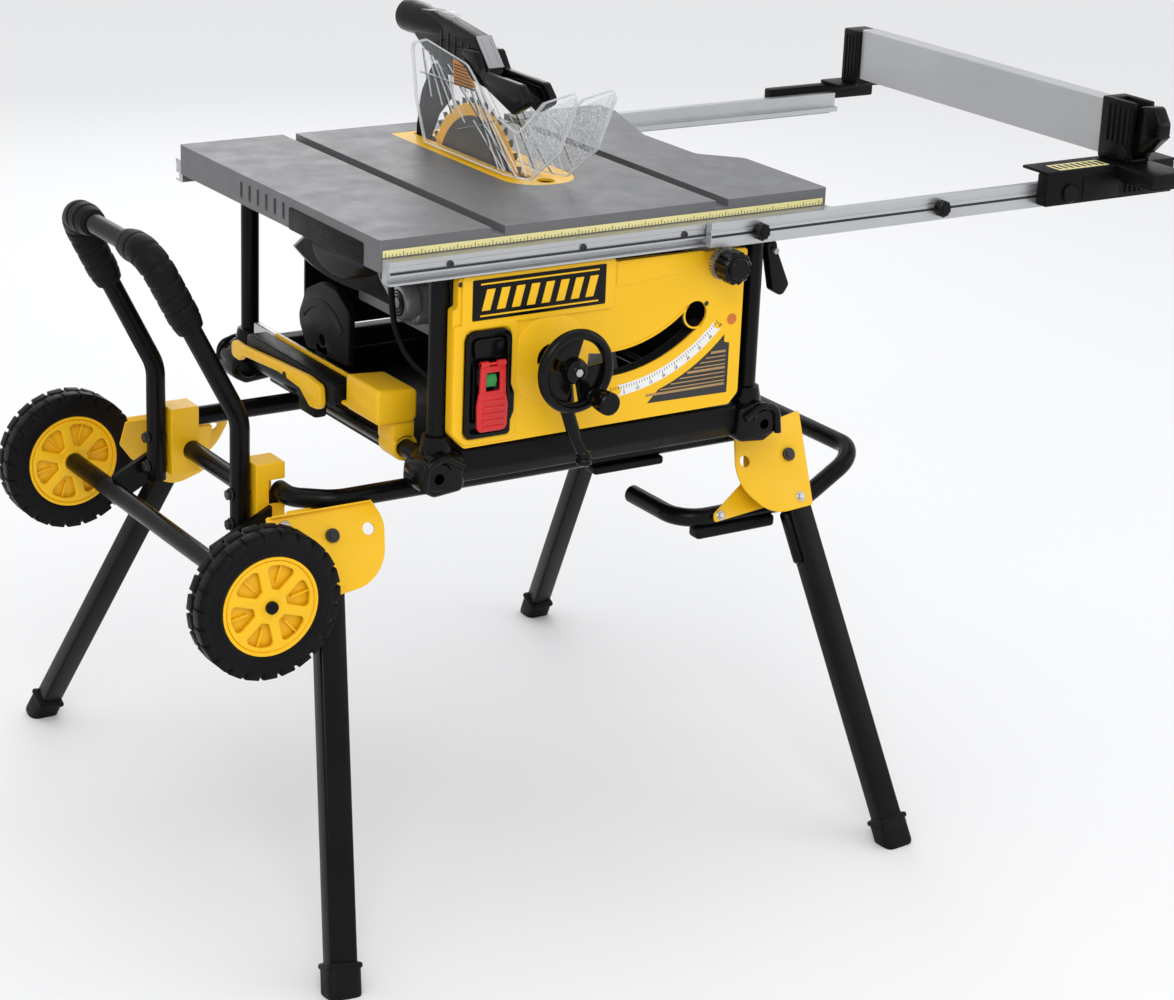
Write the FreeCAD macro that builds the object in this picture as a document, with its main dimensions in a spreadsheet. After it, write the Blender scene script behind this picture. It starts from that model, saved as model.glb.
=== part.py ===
import FreeCAD, Part
import math
import os
import re

import Sketcher
from FreeCAD import Placement, Rotation, Vector

# A ten-inch jobsite table saw on a folding wheeled stand.  Every sub-part is drawn about the centre
# of the table's top face: X to the operator's right, Y to the rear, Z up, millimetres and degrees.
# ORIGIN then lifts each one so that the finished row stands on Z = 0.

SIZES = {
    "row_x": -159, "row_z": 884,
    "table_width": 667, "table_depth": 559, "table_thick": 16, "table_skin": 8,
    "skirt_depth": 40, "skirt_wall": 8,
    "slot_centre": 168, "slot_width": 20, "slot_depth": 10,
    "plate_left": -37, "plate_right": 67, "plate_rear": 229, "plate_thick": 4,
    "rail_height": 30, "rail_depth": 20, "rail_top": -23, "moving_left": 130, "moving_right": 797,
    "groove_height": 8, "groove_depth": 10,
    "fence_x": 818, "fence_thick": 28, "fence_low": 4, "fence_high": 81,
    "panel_y": -285, "panel_wall": 4, "slot_radius": 197, "bevel_slot_width": 35,
    "cage_x": 238, "cage_y": 260, "cage_tube": 12.5, "cage_base": -300,
    "blade_radius": 127, "blade_y": 57, "blade_z": -47, "blade_plate": 2.2, "arbor_radius": 7.9,
    "knife_thick": 2.4, "guard_gap": 27, "guard_wall": 3,
    "wheel_hand_x": -90, "wheel_hand_z": -177, "shaft_radius": 8,
    "tube_radius": 12.7, "tube_wall": 2, "stand_z": -350, "leg_size": 26, "leg_wall": 2,
    "pivot_z": -390, "front_pivot_y": -226, "rear_pivot_y": 196,
    "left_pivot_x": -374, "right_pivot_x": 331, "foot_y": 472,
    "left_foot_x": -478, "right_foot_x": 381, "sheet_metal": 3,
    "wheel_x": -496, "wheel_z": -428, "tyre_radius": 97, "rim_radius": 64, "wheel_width": 40,
    "wheel_inner": 279, "axle_radius": 13, "handle_x": -443, "bolt_radius": 4,
    "pinion_radius": 22,
}


class Sizes:
    """The driving dimensions, read back as plain attributes."""


doc = FreeCAD.newDocument("table_saw")
sheet = doc.addObject("Spreadsheet::Sheet", "Sizes")
for row, (alias, value) in enumerate(SIZES.items(), 1):
    sheet.set(f"A{row}", alias)
    sheet.set(f"B{row}", str(value))
    sheet.setAlias(f"B{row}", alias)
doc.recompute()
dim = Sizes()
for alias in SIZES:
    setattr(dim, alias, float(getattr(sheet, alias)))

ALIAS = re.compile(r"\b(" + "|".join(sorted(SIZES, key=len, reverse=True)) + r")\b")
ORIGIN = Placement(Vector(dim.row_x, 0, dim.row_z), Rotation())
NODES = []


def bind(obj, prop, text):
    """Drive a property from an expression over the sheet's aliases."""
    obj.setExpression(prop, ALIAS.sub(r"Sizes.\1", str(text)))


def place(obj, at):
    for axis, text in zip("xyz", at):
        bind(obj, f"Placement.Base.{axis}", text)


def block(at, size):
    """A box from its lowest corner."""
    part = doc.addObject("Part::Box", "block")
    for prop, text in zip(("Length", "Width", "Height"), size):
        bind(part, prop, text)
    place(part, at)
    return part


TURN = {"x": Rotation(Vector(0, 1, 0), 90), "y": Rotation(Vector(1, 0, 0), -90), "z": Rotation()}


def rod(at, radius, length, axis):
    """A cylinder that starts at a point and runs along +axis."""
    part = doc.addObject("Part::Cylinder", "rod")
    bind(part, "Radius", radius)
    bind(part, "Height", length)
    part.Placement = Placement(Vector(), TURN[axis])
    place(part, at)
    return part


def cone(at, start, end, length, axis):
    part = doc.addObject("Part::Cone", "cone")
    bind(part, "Radius1", start)
    bind(part, "Radius2", end)
    bind(part, "Height", length)
    part.Placement = Placement(Vector(), TURN[axis])
    place(part, at)
    return part


def ring(at, major, minor, axis):
    part = doc.addObject("Part::Torus", "ring")
    bind(part, "Radius1", major)
    bind(part, "Radius2", minor)
    part.Placement = Placement(Vector(), TURN[axis])
    place(part, at)
    return part


def fuse(*parts):
    joined = doc.addObject("Part::MultiFuse", "fused")
    joined.Shapes = list(parts)
    joined.Refine = True
    return joined


def together(*parts):
    """Separate solids kept in one sub-part."""
    joined = doc.addObject("Part::Compound", "set_of")
    joined.Links = list(parts)
    return joined


def cut(base, *tools):
    result = doc.addObject("Part::Cut", "cut")
    result.Base = base
    result.Tool = tools[0] if len(tools) == 1 else fuse(*tools)
    result.Refine = True
    return result


def turned(part, rotation, centre):
    """Turn a finished piece about a point before it becomes a sub-part."""
    frame = Placement(centre, Rotation()) * Placement(Vector(), rotation) * Placement(-centre, Rotation())
    part.Placement = frame * part.Placement
    return part


def node(name, part, local=Placement()):
    """Name a sub-part and stand it in the row's frame."""
    if part.TypeId not in ("PartDesign::Body", "Part::Feature") and part.TypeId.startswith("Part::"):
        if part.TypeId in ("Part::Box", "Part::Cylinder", "Part::Cone", "Part::Torus"):
            part = together(part)
    part.Label = name
    part.Placement = ORIGIN * local * part.Placement
    NODES.append(part)
    return part


def shape_node(name, shape, local=Placement()):
    part = doc.addObject("Part::Feature", name)
    part.Shape = shape
    return node(name, part, local)


def free_shape(shape):
    part = doc.addObject("Part::Feature", "piece")
    part.Shape = shape
    return part


# ---------------------------------------------------------------- outlines and sketches

def outline_edges(points):
    """Closed outline of (u, v) or (u, v, corner radius) as lines and tangent arcs."""
    count = len(points)
    spans = []
    for index, point in enumerate(points):
        here = Vector(point[0], point[1], 0)
        before = Vector(*points[index - 1][:2], 0)
        after = Vector(*points[(index + 1) % count][:2], 0)
        radius = point[2] if len(point) > 2 else 0
        back = (before - here).normalize()
        ahead = (after - here).normalize()
        if not radius:
            spans.append((here, None, here))
            continue
        half = back.getAngle(ahead) / 2
        reach = radius / math.tan(half)
        centre = here + (back + ahead).normalize() * (radius / math.sin(half))
        middle = centre + (here - centre).normalize() * radius
        spans.append((here + back * reach, middle, here + ahead * reach))
    edges = []
    for index, (start, middle, end) in enumerate(spans):
        if middle is not None:
            edges.append(Part.Arc(start, middle, end))
        following = spans[(index + 1) % count][0]
        if end.distanceToPoint(following) > 1e-6:
            edges.append(Part.LineSegment(end, following))
    return edges


def origin_plane(body, role):
    return next(item for item in body.Origin.OriginFeatures if item.Role == role)


def sketch_on(body, role, offset, outlines, circles=()):
    sketch = body.newObject("Sketcher::SketchObject", "Outline")
    sketch.AttachmentSupport = (origin_plane(body, role), [""])
    sketch.MapMode = "FlatFace"
    bind(sketch, "AttachmentOffset.Base.z", offset)
    for points in outlines:
        for edge in outline_edges(points):
            sketch.addGeometry(edge, False)
    for u, v, radius in circles:
        index = sketch.addGeometry(Part.Circle(Vector(u, v, 0), Vector(0, 0, 1), 5), False)
        number = sketch.addConstraint(Sketcher.Constraint("Radius", index, 5))
        bind(sketch, f"Constraints[{number}]", radius)
    return sketch


def pad(body, sketch, length):
    feature = body.newObject("PartDesign::Pad", "Pad")
    feature.Profile = sketch
    bind(feature, "Length", length)
    return feature


def pocket(body, sketch, length, backwards=False):
    feature = body.newObject("PartDesign::Pocket", "Pocket")
    feature.Profile = sketch
    bind(feature, "Length", length)
    feature.Reversed = backwards
    return feature


def new_body(name):
    return doc.addObject("PartDesign::Body", name)


def plate(name, role, offset, thickness, outlines, circles=()):
    """A flat piece: one sketch padded along its plane's normal (XZ pads towards -Y)."""
    body = new_body(name)
    pad(body, sketch_on(body, role, offset, outlines, circles), thickness)
    return body


def rectangle(left, low, right, high, corner=0):
    return [(left, low, corner), (right, low, corner), (right, high, corner), (left, high, corner)]


def arc_band(radius, width, start, end, centre=(0, 0)):
    """Round-ended band along an arc; angles from straight down towards +u."""
    def at(distance, angle):
        turn = math.radians(angle)
        return Vector(centre[0] + distance * math.sin(turn), centre[1] - distance * math.cos(turn), 0)
    inner, outer, half = radius - width / 2, radius + width / 2, (start + end) / 2
    cap = math.degrees(width / 2 / radius)
    return [Part.Arc(at(inner, start), at(inner, half), at(inner, end)),
            Part.Arc(at(inner, end), at(radius, end + cap), at(outer, end)),
            Part.Arc(at(outer, end), at(outer, half), at(outer, start)),
            Part.Arc(at(outer, start), at(radius, start - cap), at(inner, start))]


# ---------------------------------------------------------------- bent tubes

def tube_path(points, bend):
    """Straight runs joined by tangent arcs; bend is one radius or one for each inner point."""
    points = [Vector(*point) for point in points]
    bends = bend if isinstance(bend, (list, tuple)) else [bend] * (len(points) - 2)
    edges = []
    start = points[0]
    for here, after, radius in zip(points[1:-1], points[2:], bends):
        back = (start - here).normalize()
        ahead = (after - here).normalize()
        half = back.getAngle(ahead) / 2
        reach = radius / math.tan(half)
        first = here + back * reach
        last = here + ahead * reach
        centre = here + (back + ahead).normalize() * (radius / math.sin(half))
        middle = centre + (here - centre).normalize() * radius
        edges.append(Part.LineSegment(start, first).toShape())
        edges.append(Part.Arc(first, middle, last).toShape())
        start = last
    edges.append(Part.LineSegment(start, points[-1]).toShape())
    return Part.Wire(edges)


def swept(path, radius):
    start = path.Edges[0].Vertexes[0].Point
    direction = path.Edges[0].tangentAt(path.Edges[0].FirstParameter)
    circle = Part.Wire([Part.makeCircle(radius, start, direction)])
    return path.makePipeShell([circle], True, False)


def bent_tube(points, bend, radius=None, wall=None):
    radius = radius or dim.tube_radius
    wall = dim.tube_wall if wall is None else wall
    path = tube_path(points, bend)
    outer = swept(path, radius)
    return outer.cut(swept(path, radius - wall)) if wall else outer


# ---------------------------------------------------------------- table

def table_top():
    half_x, half_y = dim.table_width / 2, dim.table_depth / 2
    wall = dim.skirt_wall
    body = new_body("table_top")
    outline = [(-half_x, -half_y, 4), (half_x + 4, -half_y, 4), (half_x + 4, -93, 14), (290, -45, 20),
               (290, 85, 30), (306, 130, 30), (half_x + 8, 238, 12), (half_x + 8, half_y, 4),
               (-half_x, half_y, 4)]
    pad(body, sketch_on(body, "XY_Plane", "-skirt_depth", [outline]), "skirt_depth")
    hollows = [rectangle(-half_x + wall, -half_y + wall, 270, half_y - wall, 10),
               rectangle(284, -half_y + wall, half_x - 6, -118, 6)]
    for hollow in hollows:
        below = sketch_on(body, "XY_Plane", "-skirt_depth", [hollow])
        pocket(body, below, "skirt_depth - table_thick", True)
    slot_wall = dim.slot_centre + dim.slot_width / 2 + 5
    slot_inner = dim.slot_centre - dim.slot_width / 2 - 5
    rear_band = dim.plate_rear + 6
    thinned = [rectangle(-half_x + wall, -half_y + wall, -slot_wall, half_y - wall, 8),
               rectangle(-slot_inner, -half_y + wall, dim.plate_left - 8, half_y - wall, 8),
               rectangle(dim.plate_right + 8, -half_y + wall, slot_inner, half_y - wall, 8),
               rectangle(slot_wall, -half_y + wall, 270, half_y - wall, 8),
               rectangle(dim.plate_left - 2, -half_y + wall, dim.plate_right + 2, -128, 8),
               rectangle(dim.plate_left - 2, rear_band, dim.plate_right + 2, half_y - wall, 8)]
    for hollow in thinned:
        below = sketch_on(body, "XY_Plane", "-table_thick", [hollow])
        pocket(body, below, "table_thick - table_skin", True)
    for centre in (-dim.slot_centre, dim.slot_centre):
        slot = rectangle(centre - dim.slot_width / 2, -half_y - 1, centre + dim.slot_width / 2, half_y + 1)
        pocket(body, sketch_on(body, "XY_Plane", 0, [slot]), "slot_depth")
    pocket(body, sketch_on(body, "XY_Plane", 0, [plate_outline(0.5)]), "plate_thick")
    throat = rectangle(dim.plate_left + 10, -96, dim.plate_right - 10, dim.plate_rear - 9, 12)
    pocket(body, sketch_on(body, "XY_Plane", 0, [throat]), "table_thick")
    vents = [rectangle(y, -32, y + 8, -10, 3) for y in range(-32, 104, 24)]
    pocket(body, sketch_on(body, "YZ_Plane", "-table_width / 2", vents), 3, True)
    node("table_top", body)


def plate_outline(grow=0.0):
    left, right = dim.plate_left - grow, dim.plate_right + grow
    rear = dim.plate_rear + grow
    return [(left, rear, 4), (left, -118 - grow, 48), (right, -118 - grow, 48), (right, rear, 4)]


def throat_plate():
    slot = rectangle(-6, -74, 10, 221, 5)
    node("throat_plate", plate("throat_plate", "XY_Plane", "-plate_thick", "plate_thick - 0.2",
                               [plate_outline(), slot], [(15, -96, 12)]))


def fixed_rails():
    """Grooved aluminium bars screwed to the table's front and rear skirts."""
    bars = []
    for side in (-1, 1):
        face = -dim.table_depth / 2 - dim.rail_depth if side < 0 else dim.table_depth / 2
        open_y = face - 1 if side < 0 else face + dim.rail_depth - dim.groove_depth
        bar = block(("-table_width / 2 + 3.5", face, "rail_top - rail_height"),
                    ("table_width", "rail_depth", "rail_height"))
        groove = block(("-table_width / 2 + 2", open_y, "rail_top - 27"),
                       ("table_width + 4", "groove_depth + 1", "groove_height"))
        lip_y = face - 1 if side < 0 else face + dim.rail_depth - 1.5
        recess = block(("-table_width / 2 + 2", lip_y, "rail_top - 16"),
                       ("table_width + 4", 2.5, 10))
        bars.append(cut(bar, groove, recess))
    node("fixed_rails", together(*bars))


def rail_screws():
    heads = []
    face = -dim.table_depth / 2 - dim.rail_depth
    for x in (-246, -55, 98, 290):
        heads.append(rod((x, face + 0.1, -34), 4.4, 1.4, "y"))
        heads.append(rod((x, -face - 1.5, -34), 4.4, 1.4, "y"))
    return heads


def side_pod():
    """Black storage moulding under the table's left front edge."""
    tray = block((-327, -232, -62), (60, 192, 22))
    pod = rod((-327, -136, -62), 46, 60, "x")
    lower = block((-330, -240, -120), (70, 210, 58))
    belly = doc.addObject("Part::Common", "belly")
    belly.Base = pod
    belly.Tool = lower
    node("side_pod", fuse(tray, belly))


# ---------------------------------------------------------------- cage and body

def cage():
    low, high = dim.cage_base + 20, -dim.skirt_depth
    posts = []
    for x in (-1, 1):
        for y in (-1, 1):
            posts.append(rod((f"{x} * cage_x", f"{y} * cage_y", low), "cage_tube", high - low, "z"))
    blocks, bars = [], []
    inner, outer = 27.9, 30
    for x in (-1, 1):
        for y in (-1, 1):
            cx, cy = x * (dim.cage_x + 4), y * (dim.cage_y + 3)
            base = dim.cage_base - 36
            left = cx - (inner if x > 0 else outer)
            foot = block((left, cy - 26, base), (inner + outer, 52, 50))
            blocks.append(fuse(rod((cx, cy, base), 28, 56, "z"), foot))
    node("cage_corners", together(*blocks))
    for y in (-1, 1):
        start = ("-cage_x + 24.2", f"{y} * (cage_y + 3)", "cage_base - 2")
        bars.append(rod(start, 12, "2 * cage_x - 48.4", "x"))
    for x in (-1, 1):
        start = (f"{x} * (cage_x + 4)", "-cage_y + 25.2", "cage_base - 2")
        bars.append(rod(start, 12, "2 * cage_y - 50.4", "y"))
    node("cage_tubes", together(*posts, *bars))


def dust_tray():
    shell = block((-222, -232, -336), (444, 464, 36))
    room = block((-218, -228, -332), (436, 456, 40))
    outlet = rod((-60, 190, -316), 10, 60, "y")
    node("dust_tray", cut(shell, room, outlet))


def front_panel():
    body = new_body("front_panel")
    outline = [(-226, -58, 6), (-226, -95, 4), (-233, -98, 4), (-233, -258, 14), (-213, -279, 8),
               (192, -277, 8), (206, -262, 10), (206, -110, 10), (210, -66, 6)]
    pad(body, sketch_on(body, "XZ_Plane", "-panel_y - panel_wall", [outline]), "panel_wall")
    rim = rim_points(outline, 0)
    inner = rim_points(outline, 4)
    pad(body, sketch_on(body, "XZ_Plane", "-panel_y - 12", [rim, inner]), 8)
    bevel_slot = body.newObject("Sketcher::SketchObject", "BevelSlot")
    bevel_slot.AttachmentSupport = (origin_plane(body, "XZ_Plane"), [""])
    bevel_slot.MapMode = "FlatFace"
    bind(bevel_slot, "AttachmentOffset.Base.z", "-panel_y + 1")
    for edge in arc_band(dim.slot_radius, dim.bevel_slot_width, -33, 42):
        bevel_slot.addGeometry(edge, False)
    pocket(body, bevel_slot, "panel_wall + 2")
    box_hole = rectangle(-205, -258, -160, -134, 3)
    shaft_hole = (157, -76, 7)
    pocket(body, sketch_on(body, "XZ_Plane", "-panel_y + 1", [box_hole], [shaft_hole]), "panel_wall + 2")
    node("front_panel", body)


def rim_points(outline, inset):
    """The outline drawn in by a wall thickness, towards the panel's middle."""
    middle_u, middle_v = -10, -170
    shrunk = []
    for u, v, radius in outline:
        step_u = inset if u < middle_u else -inset
        step_v = inset if v < middle_v else -inset
        shrunk.append((u + step_u, v + step_v, max(radius - inset / 2, 1)))
    return shrunk


def switch_box():
    shell = block((-216, -293, -265), (66, 8, 141))
    rear = block((-203, -285, -256), (41, 34, 120))
    window = block((-196, -294, -206), (28, 6, 32))
    bore = rod((-182, -292, -190), 8.6, 12, "y")
    node("switch_box", cut(fuse(shell, rear), window, bore))


def table_brackets():
    """Cast trunnion hangers under the table that carry the tilting works."""
    plates = []
    for y in (-231, 233.5):
        outline = [(-70, -16), (70, -16), (70, -30, 6), (30, -52, 10), (-30, -52, 10), (-70, -30, 6)]
        sector = [Vector(u, y, v) for u, v, *_ in outline]
        face = Part.Face(Part.makePolygon(sector + [sector[0]]))
        plates.append(face.extrude(Vector(0, 8, 0)))
    bearings = [cut(block((140, y, -92), (34, 12, 76)), rod((157, y - 5, -76), 6.05, 30, "y"))
                for y in (-270, 250)]
    lock_pivot = fuse(rod((270, -268, -82), 4, 30, "y"), block((262, -240, -92), (16, 8, 52)))
    hangers = [free_shape(shape) for shape in plates]
    node("table_brackets", together(*hangers, *bearings, lock_pivot))


def rear_cover():
    """Rear panel under the table with the dust outlet's opening."""
    outline = rectangle(-150, -278, 206, -64, 16)
    panel = plate("rear_cover", "XZ_Plane", -268, 4, [outline], [(0, -190, 60), (157, -76, 7)])
    node("rear_cover", panel)


# ---------------------------------------------------------------- tilting works

def trunnions():
    plates = []
    for y in (-222.5, 226.5):
        outer = [Vector(u, y, v) for u, v in (at_angle(236, angle) for angle in (-52, -19, 14))]
        inner = [Vector(u, y, v) for u, v in (at_angle(70, angle) for angle in (14, -19, -52))]
        edges = [Part.Arc(*outer), Part.LineSegment(outer[2], inner[0]),
                 Part.Arc(*inner), Part.LineSegment(inner[2], outer[0])]
        face = Part.Face(Part.Wire([edge.toShape() for edge in edges]))
        bore_start = Vector(dim.wheel_hand_x, y - 10, dim.wheel_hand_z)
        bore = Part.makeCylinder(dim.shaft_radius + 0.05, 40, bore_start, Vector(0, 1, 0))
        plates.append(free_shape(face.extrude(Vector(0, 6, 0)).cut(bore)))
    return plates


def at_angle(radius, angle):
    turn = math.radians(angle)
    return radius * math.sin(turn), -radius * math.cos(turn)


def tilt_frame():
    top = block((-85, -216.5, -31), (30, 443, 12))
    low = block((-85, -216.5, -232), (30, 443, 14))
    rods = [rod((-70, y, -225), 7, 200, "z") for y in (-5, 119)]
    screw_bore = rod((-90, -30, -40), 6.05, 40, "z")
    low_bore = rod((-90, -30, -240), 6.05, 40, "z")
    ear_top = block((-102, -44, -31), (24, 28, 12))
    ear_low = block((-102, -44, -232), (24, 28, 14))
    beams = cut(fuse(top, low, ear_top, ear_low, *rods), screw_bore, low_bore)
    node("tilt_frame", together(beams, *trunnions()))


def elevation_screw():
    screw = rod((-90, -30, -231), 6, 211, "z")
    gear = cone((-90, -30, -204), 15.5, 9, 9, "z")
    node("elevation_screw", fuse(screw, gear))


# ---------------------------------------------------------------- rising works

def lift_bracket():
    main = block((-86, -14, -136), (34, 142, 76))
    boss = block((-104, -44, -80), (34, 30, 20))
    link = block((-86, -20, -80), (34, 8, 20))
    bores = [rod((-70, y, -140), 7.05, 90, "z") for y in (-5, 119)]
    nut = rod((-90, -30, -90), 6.05, 40, "z")
    motor_hole = rod((-110, 57, -80), 44, 80, "x")
    knife_arm = fuse(block((-62, 119, -134), (10, 97, 30)), block((-62, 186, -134), (60.8, 30, 30)),
                     block((-13, 186, -134), (11.8, 30, 74)))
    node("lift_bracket", cut(fuse(main, boss, link, knife_arm), nut, motor_hole, *bores))


def gear_case():
    case = block((-52, 15, -128), (42, 84, 110))
    room = block((-47, 20, -123), (32, 74, 102))
    arbor = rod((-60, 57, -47), 10.05, 60, "x")
    motor = rod((-60, 57, -80), 6.05, 30, "x")
    node("gear_case", cut(case, room, arbor, motor))


def motor():
    can = rod((-180, 57, -80), 41, 94, "x")
    face = rod((-86, 57, -80), 41, 34, "x")
    cap = cone((-198, 57, -80), 33, 41, 18, "x")
    bore = rod((-200, 57, -80), 6.05, 160, "x")
    room = rod((-172, 57, -80), 36, 112, "x")
    fins = [block((-178, 57 + 41 * math.sin(a) - 3, -80 + 41 * math.cos(a) - 3), (88, 6, 6))
            for a in (math.radians(30 * k) for k in range(12))]
    stator = cut(rod((-160, 57, -80), 35.8, 58, "x"), rod((-161, 57, -80), 25, 60, "x"))
    node("motor_housing", together(cut(fuse(can, face, cap, *fins), bore, room), stator))
    rotor = rod((-166, 57, -80), 24, 70, "x")
    shaft = rod((-190, 57, -80), 6, 158, "x")
    pinion = rod((-40, 57, -80), 7, 18, "x")
    node("motor_armature", fuse(rotor, shaft, pinion))


def arbor():
    shaft = rod((-44, 57, -47), 10, 42.6, "x")
    flange = rod((-9, 57, -47), 22, 7.6, "x")
    nose = rod((-2, 57, -47), "arbor_radius", 22, "x")
    gear = rod((-40, 57, -47), 25.8, 16, "x")
    washer = rod((1.1, 57, -47), 22, 4, "x")
    nut = rod((5.1, 57, -47), 13, 9, "x")
    clamp = cut(fuse(washer, nut), rod((0, 57, -47), "arbor_radius", 30, "x"))
    node("arbor_shaft", together(fuse(shaft, flange, nose, gear), clamp))


def saw_blade():
    """Forty carbide-tipped teeth round a plain disc with a 5/8 inch arbor hole."""
    teeth = 40
    points = []
    for index in range(teeth):
        start = 360 / teeth * index
        for share, radius in ((0, 127), (0.28, 124.5), (0.42, 118), (0.62, 116), (0.9, 119.5)):
            turn = math.radians(start + share * 360 / teeth)
            points.append((dim.blade_y + radius * math.cos(turn), dim.blade_z + radius * math.sin(turn)))
    body = plate("saw_blade", "YZ_Plane", "-blade_plate / 2", "blade_plate", [points],
                 [(dim.blade_y, dim.blade_z, "arbor_radius")])
    node("saw_blade", body)


def riving_knife():
    r_in = dim.blade_radius + 6
    arc = [(dim.blade_y + r_in * math.cos(math.radians(a)), dim.blade_z + r_in * math.sin(math.radians(a)))
           for a in (58, 40, 20, 0, -16)]
    outline = [*arc, (200, -84, 4), (215, -60, 10), (219, 10, 60), (208, 60, 60),
               (176, 108, 10), (140, 96, 4)]
    node("riving_knife", plate("riving_knife", "YZ_Plane", "-knife_thick / 2", "knife_thick", [outline]))


def guard_arm():
    upper = [(214, 140, 8), (214, 178, 8), (164, 181, 10), (46, 166, 6), (11, 128, 4), (0, 118, 4),
             (60, 112, 10), (120, 100, 10), (186, 128, 6)]
    body = new_body("guard_spine")
    pad(body, sketch_on(body, "YZ_Plane", -13, [upper]), 26)
    channel = [(180, 80), (180, 150), (100, 130), (40, 108), (40, 80)]
    pocket(body, sketch_on(body, "YZ_Plane", -4, [channel]), 8, True)
    forks = []
    for x in (-24, 13.2):
        outline = [(26, 146, 4), (11, 126, 4), (-88, 126, 8), (-112, 104, 6), (-68, 84, 10),
                   (0, 108, 14), (60, 122, 4), (70, 150, 4)]
        forks.append(plate("guard_fork", "YZ_Plane", x, 10.8, [outline]))
    port = cut(rod((0, 214.2, 160), 23, 34, "y"), rod((0, 200, 160), 19, 60, "y"))
    node("guard_arm", fuse(body, port, *forks))


def side_guards():
    outline = [(190, 134, 10), (176, 60, 8), (150, 3, 4), (-66, 3, 16), (-128, 10, 10), (-196, 60, 8),
               (-238, 138, 5), (-231, 146, 4), (-158, 118, 10), (-96, 64, 20), (-40, 76, 20),
               (40, 132, 12), (150, 146, 12)]
    left = plate("left_side_guard", "YZ_Plane", "-guard_gap - guard_wall", "guard_wall", [outline])
    node("left_side_guard", left)
    right = plate("right_side_guard", "YZ_Plane", "guard_gap", "guard_wall", [outline],
                  [(172, 122, 5.05)])
    node("right_side_guard", right)
    link = block((13.6, 166, 116), (13, 12, 12))
    pin = rod((13.6, 172, 122), 5, 18.6, "x")
    node("guard_links", fuse(link, pin))


# ---------------------------------------------------------------- controls

def handwheel():
    x, z = dim.wheel_hand_x, dim.wheel_hand_z
    rim = ring((x, -346, z), 43, 6.5, "y")
    hub = rod((x, -352, z), 15, 24, "y")
    spokes = [turned(block((x - 5, -346, z), (10, 6, 44)), Rotation(Vector(0, 1, 0), angle), Vector(x, 0, z))
              for angle in (0, 120, 240)]
    shaft = rod((x, -330, z), "shaft_radius", 282, "y")
    pinion = cone((x, -59, z), 15, 7, 8, "y")
    disc = rod((x, -344, z), 40, 2.5, "y")
    crank_bore = rod((x + 24, -360, z - 34), 4.05, 40, "y")
    boss = rod((x + 24, -352, z - 34), 9, 12, "y")
    node("handwheel", cut(fuse(rim, hub, disc, boss, shaft, pinion, *spokes), crank_bore))


def crank_handle():
    x, z = dim.wheel_hand_x + 24, dim.wheel_hand_z - 34
    stem = rod((x, -354, z), 4, 12, "y")
    grip = cone((x, -392, z), 15, 11, 38, "y")
    node("crank_handle", fuse(stem, grip))


def lock_lever():
    x, z = dim.wheel_hand_x, dim.wheel_hand_z
    arm = free_shape(bent_tube([(x + 4, -316, z - 17), (x + 10, -318, z - 62), (x + 20, -322, z - 92),
                                (x + 28, -326, z - 124)], [30, 40], 6.5, 0))
    knob = rod((x + 29, -327, z - 132), 8.5, 16, "z")
    node("bevel_lock_lever", cut(fuse(rod((x, -322, z), 17, 12, "y"), arm, knob),
                                 rod((x, -330, z), "shaft_radius + 0.05", 30, "y")))


def switch_parts():
    hinge = rod((-200, -299, -168), 4, 36, "x")
    flap = block((-199, -301, -176), (34, 4, 8))
    left = block((-199, -301, -205), (7, 4, 34))
    right = block((-172, -301, -205), (7, 4, 34))
    paddle = block((-203, -303, -258), (44, 8, 54))
    node("switch_paddle", fuse(hinge, flap, left, right, paddle))
    node("start_button", rod((-182, -297, -190), 8, 9, "y"))


def rail_controls():
    knob = rod((157, -345, -76), 22, 30, "y")
    shaft = rod((157, -320, -76), 6, 640, "y")
    pinions = [rod((157, y, -76), "pinion_radius", 9, "y") for y in (-311, 302)]
    node("rail_knob", fuse(knob, shaft, *pinions))
    lever = [(258, -70, 9), (272, -70, 9), (298, -128, 12), (286, -146, 12), (270, -134, 9)]
    node("rail_lock_lever", plate("rail_lock_lever", "XZ_Plane", 246, 16, [lever], [(270, -82, 4.05)]))


# ---------------------------------------------------------------- rip rails and fence

def moving_rails():
    rails = []
    for side in (-1, 1):
        face = dim.table_depth / 2 + dim.rail_depth
        outer = -face - 13 if side < 0 else face + 1
        tongue_y = -face - 1.5 if side < 0 else face - 9.5
        top, height = ("rail_top + 3", 32) if side < 0 else ("rail_top + 1", 17)
        bar = block(("moving_left", outer, f"{top} - {height}"), ("moving_right - moving_left", 12, height))
        tongue = block(("moving_left + 2", tongue_y, "rail_top - 26.5"),
                       ("moving_right - moving_left - 4", 11, 7))
        joiner = block(("moving_left", outer, "rail_top - 27"), ("moving_right - moving_left", 12, 12))
        groove_y = outer - 1 if side < 0 else outer + 10.5
        groove = block(("moving_left - 1", groove_y, "rail_top - 9"),
                       ("moving_right - moving_left + 2", 2.5, 3))
        rails.append(cut(fuse(bar, tongue, joiner), groove))
    racks = [block((150, y, "pinion_radius - 76 + 0.3"), (640, 9, f"{top} + 75.7 - pinion_radius"))
             for y, top in ((-311.5, -52), (302, -50))]
    node("moving_rails", together(*rails, *racks))


def fence_carriages():
    front = block((675, -334, -49), (236, 21.5, 45))
    front_top = block((675, -334, -4), (236, 54, 4))
    rear = block((681, 313.5, -35), (201, 18, 24))
    rear_top = block((790, 281, -11), (92, 50.5, 5))
    latch_base = block((800, -407, -20), (66, 73, 20))
    node("fence_carriages", together(fuse(front, front_top, latch_base), fuse(rear, rear_top)))


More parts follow.
